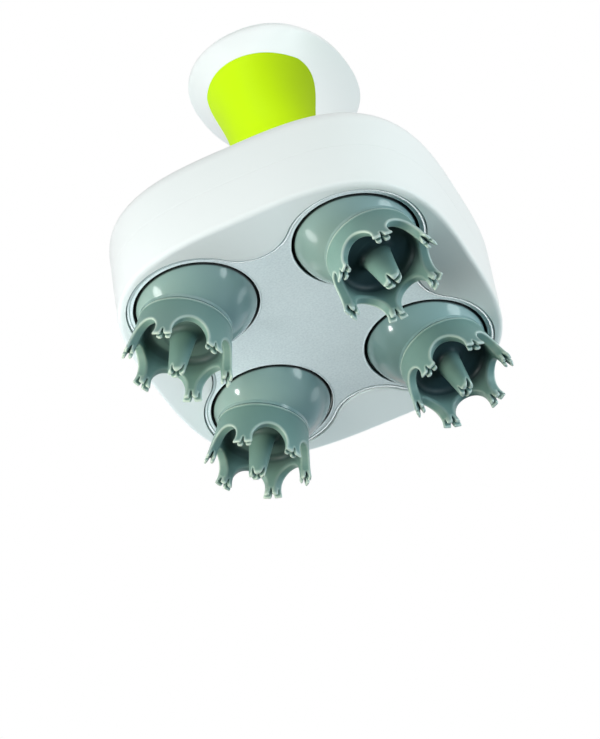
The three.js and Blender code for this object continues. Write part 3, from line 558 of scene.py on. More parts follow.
def bead_tree():
    """Runs a half-sunk rounded bead along the edge loops of the mesh that it is on."""
    tree, given = geometry_tree("edge_bead", {"Width": "Float", "Rise": "Float", "Sides": "Int"})
    path = add_node(tree, "GeometryNodeMeshToCurve", {"Mesh": given["Geometry"]})
    circle = {"Radius": 0.5, "Resolution": given["Sides"]}
    ring = add_node(tree, "GeometryNodeCurvePrimitiveCircle", circle)
    double = add_node(tree, "ShaderNodeMath", {0: given["Rise"], 1: 2}, operation="MULTIPLY")
    size = add_node(tree, "ShaderNodeCombineXYZ", {"X": given["Width"], "Y": double.outputs["Value"]})
    sizing = {"Geometry": ring.outputs["Curve"], "Scale": size.outputs["Vector"]}
    sized = add_node(tree, "GeometryNodeTransform", sizing)
    sweep(tree, given, path.outputs["Curve"], sized.outputs["Geometry"])
    return tree


def loops_mesh(name, loops):
    """Closed edge loops, without faces, from rows of points in metres."""
    points, edges = [], []
    for loop in loops:
        start = len(points)
        points += [tuple(p) for p in loop]
        edges += [(start + i, start + (i + 1) % len(loop)) for i in range(len(loop))]
    mesh = bpy.data.meshes.new(name)
    mesh.from_pydata(points, edges, [])
    return mesh


def run_tree(name, tree, mesh, values):
    """A plain mesh piece made by a tree from a mesh and the values of its inputs."""
    made = new_object(name, mesh)
    change = made.modifiers.new("shape", "NODES")
    change.node_group = tree
    for item in tree.interface.items_tree:
        if item.in_out == "INPUT" and item.name in values:
            change[item.identifier] = values[item.name]
    keep_result(made)
    face_outward(made.data)
    return made


TURNED = turned_tree()
BEAD = bead_tree()


def turned_piece(name, profile, steps, place, turn, slot):
    """A solid of revolution from (radius, height) pairs in millimetres, placed by its own axis."""
    drawing = [[(radius * MM, height * MM, 0) for radius, height in profile]]
    sheet = new_object(name + "_profile", loops_mesh(name + "_profile", drawing))
    values = {
        "Profile": sheet,
        "Path Radius": max(radius for radius, _ in profile) * MM,
        "Steps": steps,
        "Place": Vector(place) * MM + Vector((0, 0, PLATE_HEIGHT * MM)),
        "Turn": Matrix(turn).to_euler(),
        "Finish": FINISHES[slot],
    }
    made = run_tree(name, TURNED, bpy.data.meshes.new(name), values)
    bpy.data.objects.remove(sheet)
    return made


def bead_piece(name, loops, width, rise, slot):
    """A bead along loops of points in millimetres on the plate's face."""
    lifted = [(np.asarray(loop) + (0, 0, PLATE_HEIGHT)) * MM for loop in loops]
    values = {"Width": width * MM, "Rise": rise * MM, "Sides": 16, "Finish": FINISHES[slot]}
    return run_tree(name, BEAD, loops_mesh(name, lifted), values)


# Face plate outline: round lobes about the holes, joined by hollow waists
def arc_points(radius, start, end, steps):
    angles = np.linspace(start, end, steps, endpoint=False)
    return np.stack([np.cos(angles), np.sin(angles)], 1) * radius


def plate_outline(margin):
    """Points round the outline, moved outwards by a margin."""
    step = WAIST_HALF - HEAD_OFFSET
    hollow = (HEAD_OFFSET**2 + step**2 - LOBE_RADIUS**2) / (2 * (LOBE_RADIUS - step))
    centre = WAIST_HALF + hollow
    start = math.atan2(-HEAD_OFFSET, centre - HEAD_OFFSET)
    lobe = arc_points(LOBE_RADIUS + margin, start, math.pi / 2 - start, LOBE_STEPS)
    start = math.atan2(HEAD_OFFSET - centre, HEAD_OFFSET)
    waist = arc_points(hollow - margin, start, -math.pi - start, WAIST_STEPS)
    quarter = np.concatenate([lobe + HEAD_OFFSET, waist + (0, centre)])
    turned = []
    for k in range(4):
        turn = k * math.pi / 2
        c, s = math.cos(turn), math.sin(turn)
        turned.append(quarter @ np.array([[c, s], [-s, c]]))
    return np.concatenate(turned)


def at_height(ring, height):
    return np.column_stack([ring, np.zeros(len(ring)) + height])


def round_ring(radius, height, angles):
    return oval(radius, radius, 2, height, angles)


def hole_loops(radius, height):
    """A circle about each head's hole."""
    ring = round_ring(radius, height, even_angles(HOLE_STEPS))
    return [ring + (head["x"] * HEAD_OFFSET, head["y"] * HEAD_OFFSET, 0) for head in HEADS.values()]


def face_plate():
    """The flat plate with its four round holes, under the bead and the lips."""
    depths = (PLATE_THICKNESS, 0)
    sides = [[at_height(plate_outline(0), z), *hole_loops(HOLE_RADIUS, z)] for z in depths]
    body = bmesh.new()
    for strip in zip(*sides):
        points, faces = rings_to_faces(strip, closed=False)
        made = [body.verts.new(p) for p in points]
        for face in faces:
            body.faces.new([made[i] for i in face])
    borders = [e for e in body.edges if e.is_boundary]
    for is_front in (True, False):
        loop = [e for e in borders if (e.verts[0].co.z < PLATE_THICKNESS / 2) == is_front]
        bmesh.ops.triangle_fill(body, edges=loop, use_beauty=True)
    body.verts.ensure_lookup_table()
    points = [tuple(v.co) for v in body.verts]
    faces = [[v.index for v in f.verts] for f in body.faces]
    body.free()
    return link_mesh("face_plate_skin", points, faces)


def plate_beads():
    """The raised bead along the plate's edge and the small lips round the holes."""
    outline = at_height(plate_outline(-BEAD_WIDTH / 2), 0)
    edge = bead_piece("plate_bead", [outline], BEAD_WIDTH, BEAD_RISE, "plate_bead")
    holes = hole_loops(HOLE_RADIUS + LIP_WIDTH / 2, 0)
    lips = bead_piece("hole_lips", holes, LIP_WIDTH, LIP_RISE, "plate_grey")
    return edge, lips


# Body skins
def wall_half(height):
    return BODY_HALF + BODY_FLARE * share_between(height, BODY_BOTTOM + BOTTOM_ROUND, WALL_TOP)


def body_ring(half, height, angles):
    return oval(half, half, BODY_SQUARENESS, height, angles)


def parting_rings(side, angles):
    """Rings that run along the wall into the fine groove of the parting line."""
    outer = wall_half(PARTING_HEIGHT)
    return [body_ring(outer - inset, PARTING_HEIGHT + side * away, angles) for inset, away in PARTING_EDGE]


def lower_skin():
    """The lower casing: its underside runs from the plate's edge out to the rounded bottom."""
    edge = plate_outline(GAP)
    angles = np.arctan2(edge[:, 1], edge[:, 0])
    unit = np.linalg.norm(body_ring(1, 0, angles)[:, :2], axis=1)
    inset = BODY_HALF - np.linalg.norm(edge, axis=1) / unit
    round_start = np.minimum(inset, BOTTOM_ROUND)

    def underside(distance):
        """The bottom surface where it lies a distance inside the wall."""
        lean = 1 - np.minimum(distance, BOTTOM_ROUND) / BOTTOM_ROUND
        height = BODY_BOTTOM + BOTTOM_ROUND * (1 - np.sqrt(1 - lean**2))
        return body_ring(BODY_HALF - distance, height, angles)

    first = underside(inset)[:, 2]
    rings = [
        at_height(edge, PLATE_THICKNESS),
        at_height(edge, first + EDGE_DROP),
        at_height(plate_outline(GAP + EDGE_EASE), first + EDGE_EASE),
    ]
    rings += [underside(blend(inset, round_start, share)) for share in np.linspace(0.02, 1, 10)]
    start = np.arcsin(1 - round_start / BOTTOM_ROUND)
    leans = [blend(start, math.pi / 2, share) for share in np.linspace(0, 1, 15)[1:]]
    rings += [underside(BOTTOM_ROUND * (1 - np.sin(lean))) for lean in leans]
    inner = wall_half(PARTING_HEIGHT) - BODY_WALL
    rings += [
        body_ring(wall_half(LOW_WALL_RING), LOW_WALL_RING, angles),
        *parting_rings(-1, angles),
        body_ring(inner, PARTING_HEIGHT - PARTING_GAP, angles),
        body_ring(inner, INNER_FLOOR, angles),
        at_height(plate_outline(INNER_LEDGE), PLATE_THICKNESS + INNER_LEDGE),
    ]
    return ring_piece("body_lower_skin", rings)


def shoulder_rings(inset, shares, angles):
    """Rings up the elliptical shoulder, which an inset moves in from the outside."""
    rings = []
    for turn in shares * math.pi / 2:
        half = wall_half(WALL_TOP) - inset - (SHOULDER_REACH - inset) * (1 - math.cos(turn))
        rings.append(body_ring(half, WALL_TOP + (SHOULDER_RISE - inset) * math.sin(turn), angles))
    return rings


def upper_skin():
    """The upper casing: wall, elliptical shoulder and flat top under the handle."""
    angles = even_angles(BODY_STEPS)
    rings = [
        body_ring(wall_half(PARTING_HEIGHT) - BODY_WALL, PARTING_HEIGHT + PARTING_GAP, angles),
        *reversed(parting_rings(1, angles)),
        body_ring(wall_half(HIGH_WALL_RING), HIGH_WALL_RING, angles),
        *shoulder_rings(0, np.linspace(0, 1, 19), angles),
        body_ring(FLAT_TOP_HALF, BODY_TOP, angles),
        round_ring(NECK_BORE, BODY_TOP, angles),
        round_ring(NECK_BORE, BODY_TOP - BODY_WALL, angles),
        *shoulder_rings(BODY_WALL, np.linspace(1, 0, 7), angles),
    ]
    return ring_piece("body_upper_skin", rings)


# Handle
def handle_ring(height, inset, angles):
    foot = share_between(height, NECK_HEIGHT, HANDLE_FOOT)
    rise = share_between(height, NECK_HEIGHT, RIM_HEIGHT)
    swell = math.sin(math.pi / 2 * rise) ** 2
    flare = FOOT_FLARE * foot**4
    half_x = blend(NECK_HALF_WIDTH, RIM_HALF_WIDTH, rise**3) + flare - inset
    half_y = blend(NECK_HALF_LENGTH, RIM_HALF_LENGTH, swell) + flare - inset
    squareness = blend(2, CAP_SQUARENESS, rise**6)
    tilt = math.radians(RIM_TILT * math.sin(math.pi / 2 * rise))
    ring = oval(half_x, half_y, squareness, 0, angles)
    y = ring[:, 1] * math.cos(tilt) + blend(NECK_CENTRE_Y, RIM_CENTRE_Y, swell)
    z = ring[:, 1] * math.sin(tilt) + height
    return np.stack([ring[:, 0], y, z], 1)


def dome_ring(turn, inset, angles):
    squareness = blend(CAP_SQUARENESS, 2, turn / (math.pi / 2))
    half_x = (RIM_HALF_WIDTH - inset) * math.cos(turn)
    half_y = (RIM_HALF_LENGTH - inset) * math.cos(turn)
    return oval(half_x, half_y, squareness, (DOME_RISE - inset) * math.sin(turn), angles)


def in_rim_frame(points):
    """Points drawn about the middle of the tilted rim, put into the product."""
    return np.asarray(points) @ np.array(RIM_TURN).T + (0, RIM_CENTRE_Y, RIM_HEIGHT)


def handle_surface(name, outer_inset, inner_inset):
    """A closed shell between two insets of the handle, up to where the cover starts."""
    angles = even_angles(HANDLE_STEPS)
    heights = HANDLE_FOOT + HANDLE_HEIGHT * np.linspace(0, 1, 56)
    outside = [handle_ring(h, outer_inset, angles) for h in heights]
    edge = [dome_ring(turn, outer_inset, angles) for turn in np.linspace(0, COVER_SEAM, 9)[1:]]
    edge[-1][:, 2] -= SEAM_EASE
    brim = dome_ring(COVER_SEAM, outer_inset + SEAM_INSET, angles)
    mouth = dome_ring(COVER_SEAM, inner_inset, angles)
    brim[:, 2] = mouth[:, 2] = DOME_RISE * math.sin(COVER_SEAM)
    rim = [in_rim_frame(ring) for ring in (*edge, brim, mouth)]
    low = HANDLE_FOOT + FOOT_LEDGE
    inside = [handle_ring(h, inner_inset, angles) for h in np.linspace(RIM_HEIGHT, low, 24)]
    rings = [*outside, *rim, *inside]
    if inner_inset > GRIP_THICKNESS + GAP:
        rings += [round_ring(NECK_BORE, height, angles) for height in (low, HANDLE_FOOT)]
    return ring_piece(name, rings)


def bezier(start, first, second, end):
    t = np.linspace(0, 1, GRIP_CURVE_STEPS)[:, None]
    parts = (np.array(start), np.array(first), np.array(second), np.array(end))
    weights = ((1 - t) ** 3, 3 * t * (1 - t) ** 2, 3 * t**2 * (1 - t), t**3)
    return sum(w * p for w, p in zip(weights, parts))


def grip_cutter(margin):
    """A prism across the handle with the grip's outline as seen from the side."""
    slope = math.tan(math.radians(RIM_TILT))

    def crest(y):
        return RIM_HEIGHT + slope * (y - RIM_CENTRE_Y) - GRIP_DROP + margin

    foot = HANDLE_FOOT + GRIP_FOOT_RISE - margin
    foot_back = margin - GRIP_FOOT_REACH
    back = margin - GRIP_KNEE_REACH
    knee = RIM_HEIGHT - GRIP_KNEE_DROP
    middle = (back, (foot + knee) / 2)
    lower = bezier((foot_back, foot), (foot_back + GRIP_FOOT_BEND, foot), middle, (back, knee))
    top = crest(-GRIP_CREST_REACH)
    ease = (-GRIP_CREST_REACH * GRIP_CREST_BEND, top)
    upper = bezier((back, knee), (back, knee + GRIP_KNEE_RISE), ease, (-GRIP_CREST_REACH, top))
    front = -CUTTER_FRONT
    outline = [(front, foot), *lower, *upper[1:], (front, crest(front))]
    ends = [[(x, y, z) for y, z in outline] for x in (-CUTTER_SIDE, CUTTER_SIDE)]
    return prism("grip_cutter", ends)


def keep_only(made, cutter, operation):
    """Cuts a piece with a cutter and leaves the result as plain mesh."""
    change = made.modifiers.new("cut", "BOOLEAN")
    change.operation = operation
    change.solver = "EXACT"
    change.object = cutter
    keep_result(made)
    bpy.data.objects.remove(cutter)


def socket_hole():
    """A round rod out through the back of the handle, below the rim."""
    x, z, y = round_ring(SOCKET_RADIUS + GAP, 0, even_angles(64)).T
    ends = [np.stack([x, y + reach, z - SOCKET_DROP], 1) for reach in (SOCKET_START, 2 * RIM_HALF_LENGTH)]
    return prism("socket_hole", [in_rim_frame(end) for end in ends])


def handle_pieces():
    """The white handle, with the bed of the grip and the socket's hole cut out, and the grip."""
    shell = handle_surface("handle_skin", 0, HANDLE_WALL)
    bed = handle_surface("grip_bed", -1, GRIP_THICKNESS + GRIP_BED_GAP)
    keep_only(bed, grip_cutter(GRIP_GAP), "INTERSECT")
    keep_only(shell, bed, "DIFFERENCE")
    keep_only(shell, socket_hole(), "DIFFERENCE")
    grip = handle_surface("grip_skin", 0, GRIP_THICKNESS)
    keep_only(grip, grip_cutter(0), "INTERSECT")
    return shell, grip


def top_cover():
    """The domed cover, which closes on the round opening for the button."""
    angles = even_angles(HANDLE_STEPS)
    opening = [round_ring(OPENING + out, DOME_TOP - drop, angles) for out, drop in OPENING_EDGE]
    outside = [dome_ring(turn, 0, angles) for turn in np.linspace(COVER_SEAM, DOME_STEEP, 18)]
    inside = [dome_ring(turn, COVER_WALL, angles) for turn in np.linspace(DOME_STEEP, COVER_SEAM, 10)]
    rim = dome_ring(COVER_SEAM, SEAM_INSET, angles)
    rim[:, 2] = inside[-1][:, 2] = DOME_RISE * math.sin(COVER_SEAM) + GAP
    outside[0][:, 2] = rim[0, 2] + SEAM_EASE
    points, faces = rings_to_faces([rim, *outside, *opening, *inside], closed=True)
    return link_mesh("top_cover_skin", in_rim_frame(points), faces)


def on_cap(name, profile, slot):
    """A turned piece on the middle of the tilted cap."""
    return turned_piece(name, profile, CAP_STEPS, (0, RIM_CENTRE_Y, RIM_HEIGHT), RIM_TURN, slot)


def light_ring():
    inner = BUTTON_RADIUS + BUTTON_GAP
    base = DOME_TOP - RING_DEPTH
    profile = [(inner, base), (RING_RADIUS, base)]
    profile += [(RING_RADIUS, DOME_TOP - RING_SINK), (inner, DOME_TOP - RING_SINK / 2)]
    return on_cap("light_ring_skin", rounded(profile, RING_ROUND), "light_lens")


def power_button():
    """The round button, slightly hollow on top for a fingertip."""
    crown = DOME_TOP + BUTTON_PROUD
    base = DOME_TOP - BUTTON_DEPTH
    profile = [(0, base), (BUTTON_RADIUS, base)]
    profile += [(BUTTON_RADIUS - inward, crown - drop) for inward, drop in BUTTON_EDGE]
    profile.append((0, crown - BUTTON_DISH))
    return on_cap("power_button_skin", profile, "shell_white")


# Heads, drawn as (x, y, h) with h counted down the leaning axis from the pivot
def smooth_min(a, b, k):
    share = np.clip(0.5 + 0.5 * (b - a) / k, 0, 1)
    return b + (a - b) * share - k * share * (1 - share)


def smooth_max(a, b, k):
    return -smooth_min(-a, -b, k)


def between_heights(body, h, low, high, low_round, high_round):
    """A body cut off at two heights, with rounded edges."""
    return smooth_max(smooth_max(body, low - h, low_round), h - high, high_round)


def nub_slots(body, across, along, depth):
    """Two crossed grooves, widening towards the end, that leave four nubs at a tip."""
    for offset in (across, along):
        groove = np.abs(offset) - SLOT_SLOPE * np.minimum(depth + 0.4, 3)
        body = smooth_max(body, -smooth_max(groove, -depth, 0.3), CORNER_ROUND)
    return body


def claw_distance(points):
    """How far points lie outside the claw: a flared skirt, arches, floor and middle finger."""
    x, y, h = points[..., 0], points[..., 1], points[..., 2]
    radius = np.hypot(x, y)
    step = 2 * math.pi / FINGER_COUNT
    angle = np.arctan2(y, x)
    off_finger = (angle + step / 2) % step - step / 2
    off_gap = angle % step - step / 2
    down = np.clip((h - CLAW_TOP) / (CLAW_TIP - CLAW_TOP), 0, 1.1)
    nub_depth = h - (CLAW_TIP - NUB_LENGTH)
    splay = TIP_SPLAY * np.clip(nub_depth / NUB_LENGTH, 0, 1) ** 2
    middle = blend(SEAM_RADIUS - CLAW_HALF_WALL, TIP_CIRCLE_RADIUS, down**CLAW_FLARE)
    wall = np.abs(radius - middle) - CLAW_HALF_WALL - splay
    skirt = between_heights(wall, h, CLAW_TOP, CLAW_TIP, TOP_ROUND, TIP_ROUND)
    open_half = TIP_CIRCLE_RADIUS * math.sin(step / 2) - FINGER_WIDTH / 2
    sideways = radius * np.sin(off_gap) / open_half
    upward = np.maximum(-nub_depth, 0) / (ARCH_RISE - NUB_LENGTH)
    arch = (np.hypot(sideways, upward) - 1) * open_half + 2 * splay
    crown = smooth_max(skirt, -arch, TIP_ROUND)
    crown = nub_slots(crown, radius * np.cos(off_finger) - middle, radius * np.sin(off_finger), nub_depth)
    neck_bead = np.hypot(radius - SEAM_RADIUS + 0.3, h - CLAW_TOP - 0.45) - NECK_BEAD_RADIUS
    crown = smooth_min(crown, neck_bead, 0.15)
    floor = between_heights(radius - FLOOR_RADIUS, h, CLAW_TOP, CLAW_FLOOR, CORNER_ROUND, CORNER_ROUND)
    crown = smooth_min(crown, floor, FLOOR_FILLET)
    share = np.clip((h - CLAW_FLOOR) / (CENTRE_TIP - CLAW_FLOOR), 0, 1)
    wide = blend(CENTRE_ROOT[0], CENTRE_END[0], share**0.8)
    deep = blend(CENTRE_ROOT[1], CENTRE_END[1], share)
    finger = (np.hypot(x / wide, y / deep) - 1) * np.minimum(wide, deep)
    finger = between_heights(finger, h, CLAW_TOP, CENTRE_TIP, CORNER_ROUND, CENTRE_ROUND)
    finger = nub_slots(finger, x, y, h - (CENTRE_TIP - NUB_LENGTH))
    return smooth_min(crown, finger, CENTRE_FILLET)


def surface_of(distance, low, high, step):
    """The surface where a distance is zero: one point per cell it crosses, then quads."""
    axes = [np.arange(a, b, step) for a, b in zip(low, high)]
    values = distance(np.stack(np.meshgrid(*axes, indexing="ij"), -1))
    cells = np.array(values.shape) - 1
    ways = np.eye(3, dtype=int)

    def both_ends(start, way, size):
        """The values at the start and the end of each grid edge along a way."""
        return [values[tuple(slice(s, s + n) for s, n in zip(p, size))] for p in (start, start + way)]

    total = np.zeros((*cells, 3))
    count = np.zeros(cells)
    for axis, way in enumerate(ways):
        u, v = np.delete(ways, axis, 0)
        for start in (u * 0, v, u, u + v):
            here, there = both_ends(start, way, cells)
            crossed = (here < 0) != (there < 0)
            share = np.where(crossed, here / np.where(crossed, here - there, 1), 0)
            total += (start + way * share[..., None]) * crossed[..., None]
            count += crossed
    active = count > 0
    index = np.full(cells, -1)
    index[active] = np.arange(active.sum())
    places = np.argwhere(active) + total[active] / count[active][:, None]
    points = np.array(low) + places * step
    faces = []
    for axis, way in enumerate(ways):
        u, v = np.delete(ways, axis, 0)
        here, there = both_ends(u + v, way, cells - u - v)
        edges = np.argwhere((here < 0) != (there < 0)) + u + v
        around = [index[tuple((edges - back).T)] for back in (u + v, v, u * 0, u)]
        faces += np.stack(around, 1).tolist()
    for _ in range(2):
        points = settle(distance, points, step / 4)
    return points, faces


def settle(distance, points, reach):
    """Moves points along the slope of a distance onto its zero surface."""
    ways = np.eye(3) * reach
    slope = np.stack([distance(points + w) - distance(points - w) for w in ways], -1) / (2 * reach)
    steep = np.maximum((slope**2).sum(-1), 0.2)
    return points - slope * (distance(points) / steep)[:, None]


def bell_profile():
    """The bell's wall as (radius, height): a ball zone round the pivot, drawn in to the seam."""

    def ball(radius, start, end, steps):
        angles = np.radians(np.linspace(start, end, steps))
        return [(radius * math.sin(a), radius * math.cos(a)) for a in angles]

    outside = ball(BALL_RADIUS, BALL_START, BALL_END, 18)
    inside = ball(BALL_RADIUS - BELL_WALL, HOLLOW_END, BALL_START, 10)
    floor_top = BELL_LENGTH - BELL_FLOOR
    seam = [(SEAM_RADIUS - 0.1, BELL_LENGTH - 0.1), (SEAM_RADIUS - 0.5, BELL_LENGTH)]
    end = [(0, BELL_LENGTH), (0, floor_top), (SEAM_RADIUS - BELL_WALL, floor_top)]
    return [(radius, -depth) for radius, depth in outside + seam + end + inside]


def head_axes(head):
    """The directions of x, y and h on a head's leaning axis, its first finger at its phase."""
    sideways = 0 if head["x"] > 0 else math.pi
    lean = sideways + head["x"] * head["y"] * HEAD_LEAN
    level = math.sin(HEAD_TILT)
    axis = Vector((level * math.cos(lean), level * math.sin(lean), -math.cos(HEAD_TILT)))
    across = (Vector((1, 0, 0)) - axis * axis.x).normalized()
    beside = axis.cross(across)
    phase = math.radians(head["phase"])
    first = across * math.cos(phase) + beside * math.sin(phase)
    second = beside * math.cos(phase) - across * math.sin(phase)
    return first, second, axis


def edge_values(distance, points, reach):
    """0.5 where a surface is flat, more on convex edges and less in hollows."""
    around = sum(distance(points + side) + distance(points - side) for side in np.eye(3) * reach)
    bend = (around - 6 * distance(points)) / reach
    return np.clip(0.5 + 0.25 * bend, 0, 1)


def painted_cup_shade(points):
    """The painted shade inside the cup of the claw, by how deep points lie, from 0 at the fingers' tips to
    1.
    """
    h = points[:, 2]
    radius = np.hypot(points[:, 0], points[:, 1])
    depth = np.clip((CUP_MOUTH - h) / (CUP_MOUTH - CLAW_FLOOR), 0, 1)
    inside = np.clip((CUP_RADIUS - radius) / 0.8, 0, 1) * (h > CLAW_FLOOR - 1)
    beside = np.clip((radius - 3.5) / 3, 0, 1)
    return inside * depth * blend(0.35 + 0.4 * depth, 1, beside)


def head_pieces():
    """The bell and the claw of each head; the claws are one shape, turned to their phases."""
    reach = TIP_CIRCLE_RADIUS + 2.6
    box = ((-reach, -reach, CLAW_TOP - 1), (reach, reach, CENTRE_TIP + 1))
    claw_points, claw_faces = surface_of(claw_distance, *box, CLAW_CELL)
    claw_painted_light = edge_values(claw_distance, claw_points, 0.7)
    claw_painted_shade = painted_cup_shade(claw_points)
    for name, head in HEADS.items():
        first, second, axis = head_axes(head)
        pivot = (head["x"] * HEAD_OFFSET, head["y"] * HEAD_OFFSET, PIVOT_HEIGHT)
        body = f"head_{name}"
        upright = Matrix((first, -second, -axis)).transposed()
        bell = turned_piece(f"bell_skin_{name}", bell_profile(), BELL_STEPS, pivot, upright, "bell_sage")
        dress(bell, "bell_sage", body, [f"bell_{name}"], sharp=20)
        placed = claw_points @ np.array([first, second, axis]) + pivot
        claw = link_mesh(f"claw_skin_{name}", placed, claw_faces)
        # The edge attribute carries painted highlight on convex edges and painted shade in hollows and deep
        # in the cup
        edges = claw.data.attributes.new("edge", "FLOAT", "POINT")
        shade = RIGHT_CUP_SHADE if head["x"] > 0 else LEFT_CUP_SHADE
        edges.data.foreach_set("value", claw_painted_light - shade * claw_painted_shade)
        dress(claw, "claw_silicone", body, [f"claw_{name}"], sharp=80)


head_pieces()
dress(face_plate(), "plate_grey", "casing", ["face_plate"])
for bead in plate_beads():
    dress(bead, "plate_grey", "casing", ["face_plate"], sharp=80)
dress(lower_skin(), "shell_white", "casing", ["lower_housing"])
dress(upper_skin(), "shell_white", "casing", ["upper_housing"])
handle_skin, grip_skin = handle_pieces()
dress(handle_skin, "shell_white", "casing", ["handle_shell"])
dress(grip_skin, "lime_grip", "casing", ["front_grip"])
dress(top_cover(), "shell_white", "casing", ["top_cover"])
dress(light_ring(), "light_lens", "casing", ["light_ring"])
dress(power_button(), "shell_white", "button", ["power_button"])

# The CAD nodes that stay visible take the finish of their material slot
for part in frame["record"]["subparts"]:
    shown = frame["nodes"][part["node"]]
    shown.data.materials.clear()
    shown.data.materials.append(FINISHES[part["material_slot"]])


# Stage
DARK_BELOW = (0.25, (0.005, 0.012, 0.014, 1))
COOL_BAND = (0.45, (0.64, 0.82, 0.84, 1))
WARM_BAND = (0.54, (0.83, 0.75, 0.75, 1))
OVERHEAD = (1.0, (0.52, 0.53, 0.53, 1))
FLOOR_HALF = 1.5
FLOOR_COLOUR = (0.86, 0.87, 0.87, 1)

# The photograph's view: its height and focal length in pixels, and the camera's place and
# directions in millimetres from the middle of the face plate
PHOTO_HEIGHT = 739
FOCAL_LENGTH = 3164
SENSOR_HEIGHT = 36
CAMERA_PLACE = Vector((225.6, -698.3, -679.0))
CAMERA_RIGHT = Vector((0.8976, 0.4214, -0.1291))
CAMERA_UP = Vector((0.3731, -0.5707, 0.7315))

WHITE = (1, 1, 1)
WARM = (1.04, 1, 0.88)
ROSE = (1.03, 1, 1)
COOL = (0.9, 1, 1.01)
FRONT_LEFT = ("skin_front_left",)
FRONT_RIGHT = ("skin_front_right",)
LEFT_HEADS = FRONT_LEFT + ("skin_back_left",)
RIGHT_CLAW = ("claw_skin_front_right",)
RIGHT_BELL = ("bell_skin_back_right",)
HEAD_SKINS = ("bell_skin", "claw_skin")
LEFT_LIT = ("claw_skin", "bell_skin_front", "bell_skin_back_left")
PLATE = ("face_plate", "hole_lips")
HANDLE = ("handle_", "grip_", "cover")
CASING = ("body_", "plate_bead") + HANDLE
RIGHT_LIT = ("body_", "plate", "lips", "handle_", "cover") + HEAD_SKINS


def studio_world():
    """A bright band round the horizon, dimmer overhead and nearly dark below.

    The camera itself sees plain white behind the product.
    """
    world = bpy.data.worlds.new("studio")
    bpy.context.scene.world = world
    world.use_nodes = True
    tree = world.node_tree
    tree.nodes.clear()
    place = add_node(tree, "ShaderNodeTexCoord").outputs["Generated"]
    split = add_node(tree, "ShaderNodeSeparateXYZ", {"Vector": place})
    span = {"Value": split.outputs["Z"], "From Min": -1, "From Max": 1}
    height = add_node(tree, "ShaderNodeMapRange", span)
    bands = add_node(tree, "ShaderNodeValToRGB", {"Fac": height.outputs["Result"]})
    stops = bands.color_ramp.elements
    stops[0].position, stops[0].color = DARK_BELOW
    stops[1].position, stops[1].color = OVERHEAD
    for position, colour in (COOL_BAND, WARM_BAND):
        stops.new(position).color = colour
    lit = add_node(tree, "ShaderNodeBackground", {"Color": bands.outputs["Color"]})
    seen = add_node(tree, "ShaderNodeBackground", {"Color": (1, 1, 1, 1)})
    path = add_node(tree, "ShaderNodeLightPath")
    sides = {"Fac": path.outputs["Is Camera Ray"], 1: lit.outputs[0], 2: seen.outputs[0]}
    choose = add_node(tree, "ShaderNodeMixShader", sides)
    add_node(tree, "ShaderNodeOutputWorld", {"Surface": choose.outputs["Shader"]})


def floor():
    """A pale floor that shows only from above and lets the light under the product."""
    mesh = bpy.data.meshes.new("floor")
    corners = [(x * FLOOR_HALF, y * FLOOR_HALF, 0) for x, y in ((-1, -1), (1, -1), (1, 1), (-1, 1))]
    mesh.from_pydata(corners, [], [(0, 1, 2, 3)])
    paint = bpy.data.materials.new("pale_floor")
    paint.use_nodes = True
    tree = paint.node_tree
    shader = tree.nodes["Principled BSDF"]
    set_inputs(tree, shader, {"Base Color": FLOOR_COLOUR, "Roughness": 0.8})
    side = add_node(tree, "ShaderNodeNewGeometry")
    path = add_node(tree, "ShaderNodeLightPath")
    seen_from = {0: path.outputs["Is Camera Ray"], 1: side.outputs["Backfacing"]}
    shown = add_node(tree, "ShaderNodeMath", seen_from, operation="SUBTRACT", use_clamp=True)
    clear = add_node(tree, "ShaderNodeBsdfTransparent")
    sides = {"Fac": shown.outputs["Value"], 1: clear.outputs["BSDF"], 2: shader.outputs["BSDF"]}
    choose = add_node(tree, "ShaderNodeMixShader", sides)
    set_inputs(tree, tree.nodes["Material Output"], {"Surface": choose.outputs["Shader"]})
    mesh.materials.append(paint)
    new_object("floor", mesh)


def pieces_named(label, words, holding):
    """A collection of the meshes whose names hold one of the words, or of all the others."""
    chosen = bpy.data.collections.new(label)
    for piece in bpy.data.objects:
        if piece.type == "MESH" and any(word in piece.name for word in words) == holding:
            chosen.objects.link(piece)
    return chosen


def softbox(name, azimuth, elevation, distance, size, brightness, tint=WHITE, onto=(), past=(), role="fill"):
    """A light that faces the heads, oval for a glint; azimuth turns from +X towards +Y.

    A fill gives no reflection and a glint nothing else. With onto it lights only the pieces
    whose names hold one of those words, and those with a word in past throw no shadow in it.
    """
    turn = math.radians(azimuth)
    lift = math.radians(elevation)
    away = Vector((math.cos(turn) * math.cos(lift), math.sin(turn) * math.cos(lift), math.sin(lift)))
    lamp = bpy.data.lights.new(name, "AREA")
    lamp.shape = "ELLIPSE" if role == "glint" else "RECTANGLE"
    lamp.size, lamp.size_y = size
    lamp.energy = brightness * math.pi * size[0] * size[1]
    lamp.color = tint
    made = new_object(name, lamp)
    made.location = away * distance + Vector((0, 0, PLATE_HEIGHT * MM))
    made.rotation_euler = away.to_track_quat("Z", "Y").to_euler()
    made.visible_camera = False
    made.visible_diffuse = role != "glint"
    made.visible_glossy = role != "fill"
    if onto:
        made.light_linking.receiver_collection = pieces_named(name + "_lit", onto, True)
    if past:
        made.light_linking.blocker_collection = pieces_named(name + "_blockers", past, False)


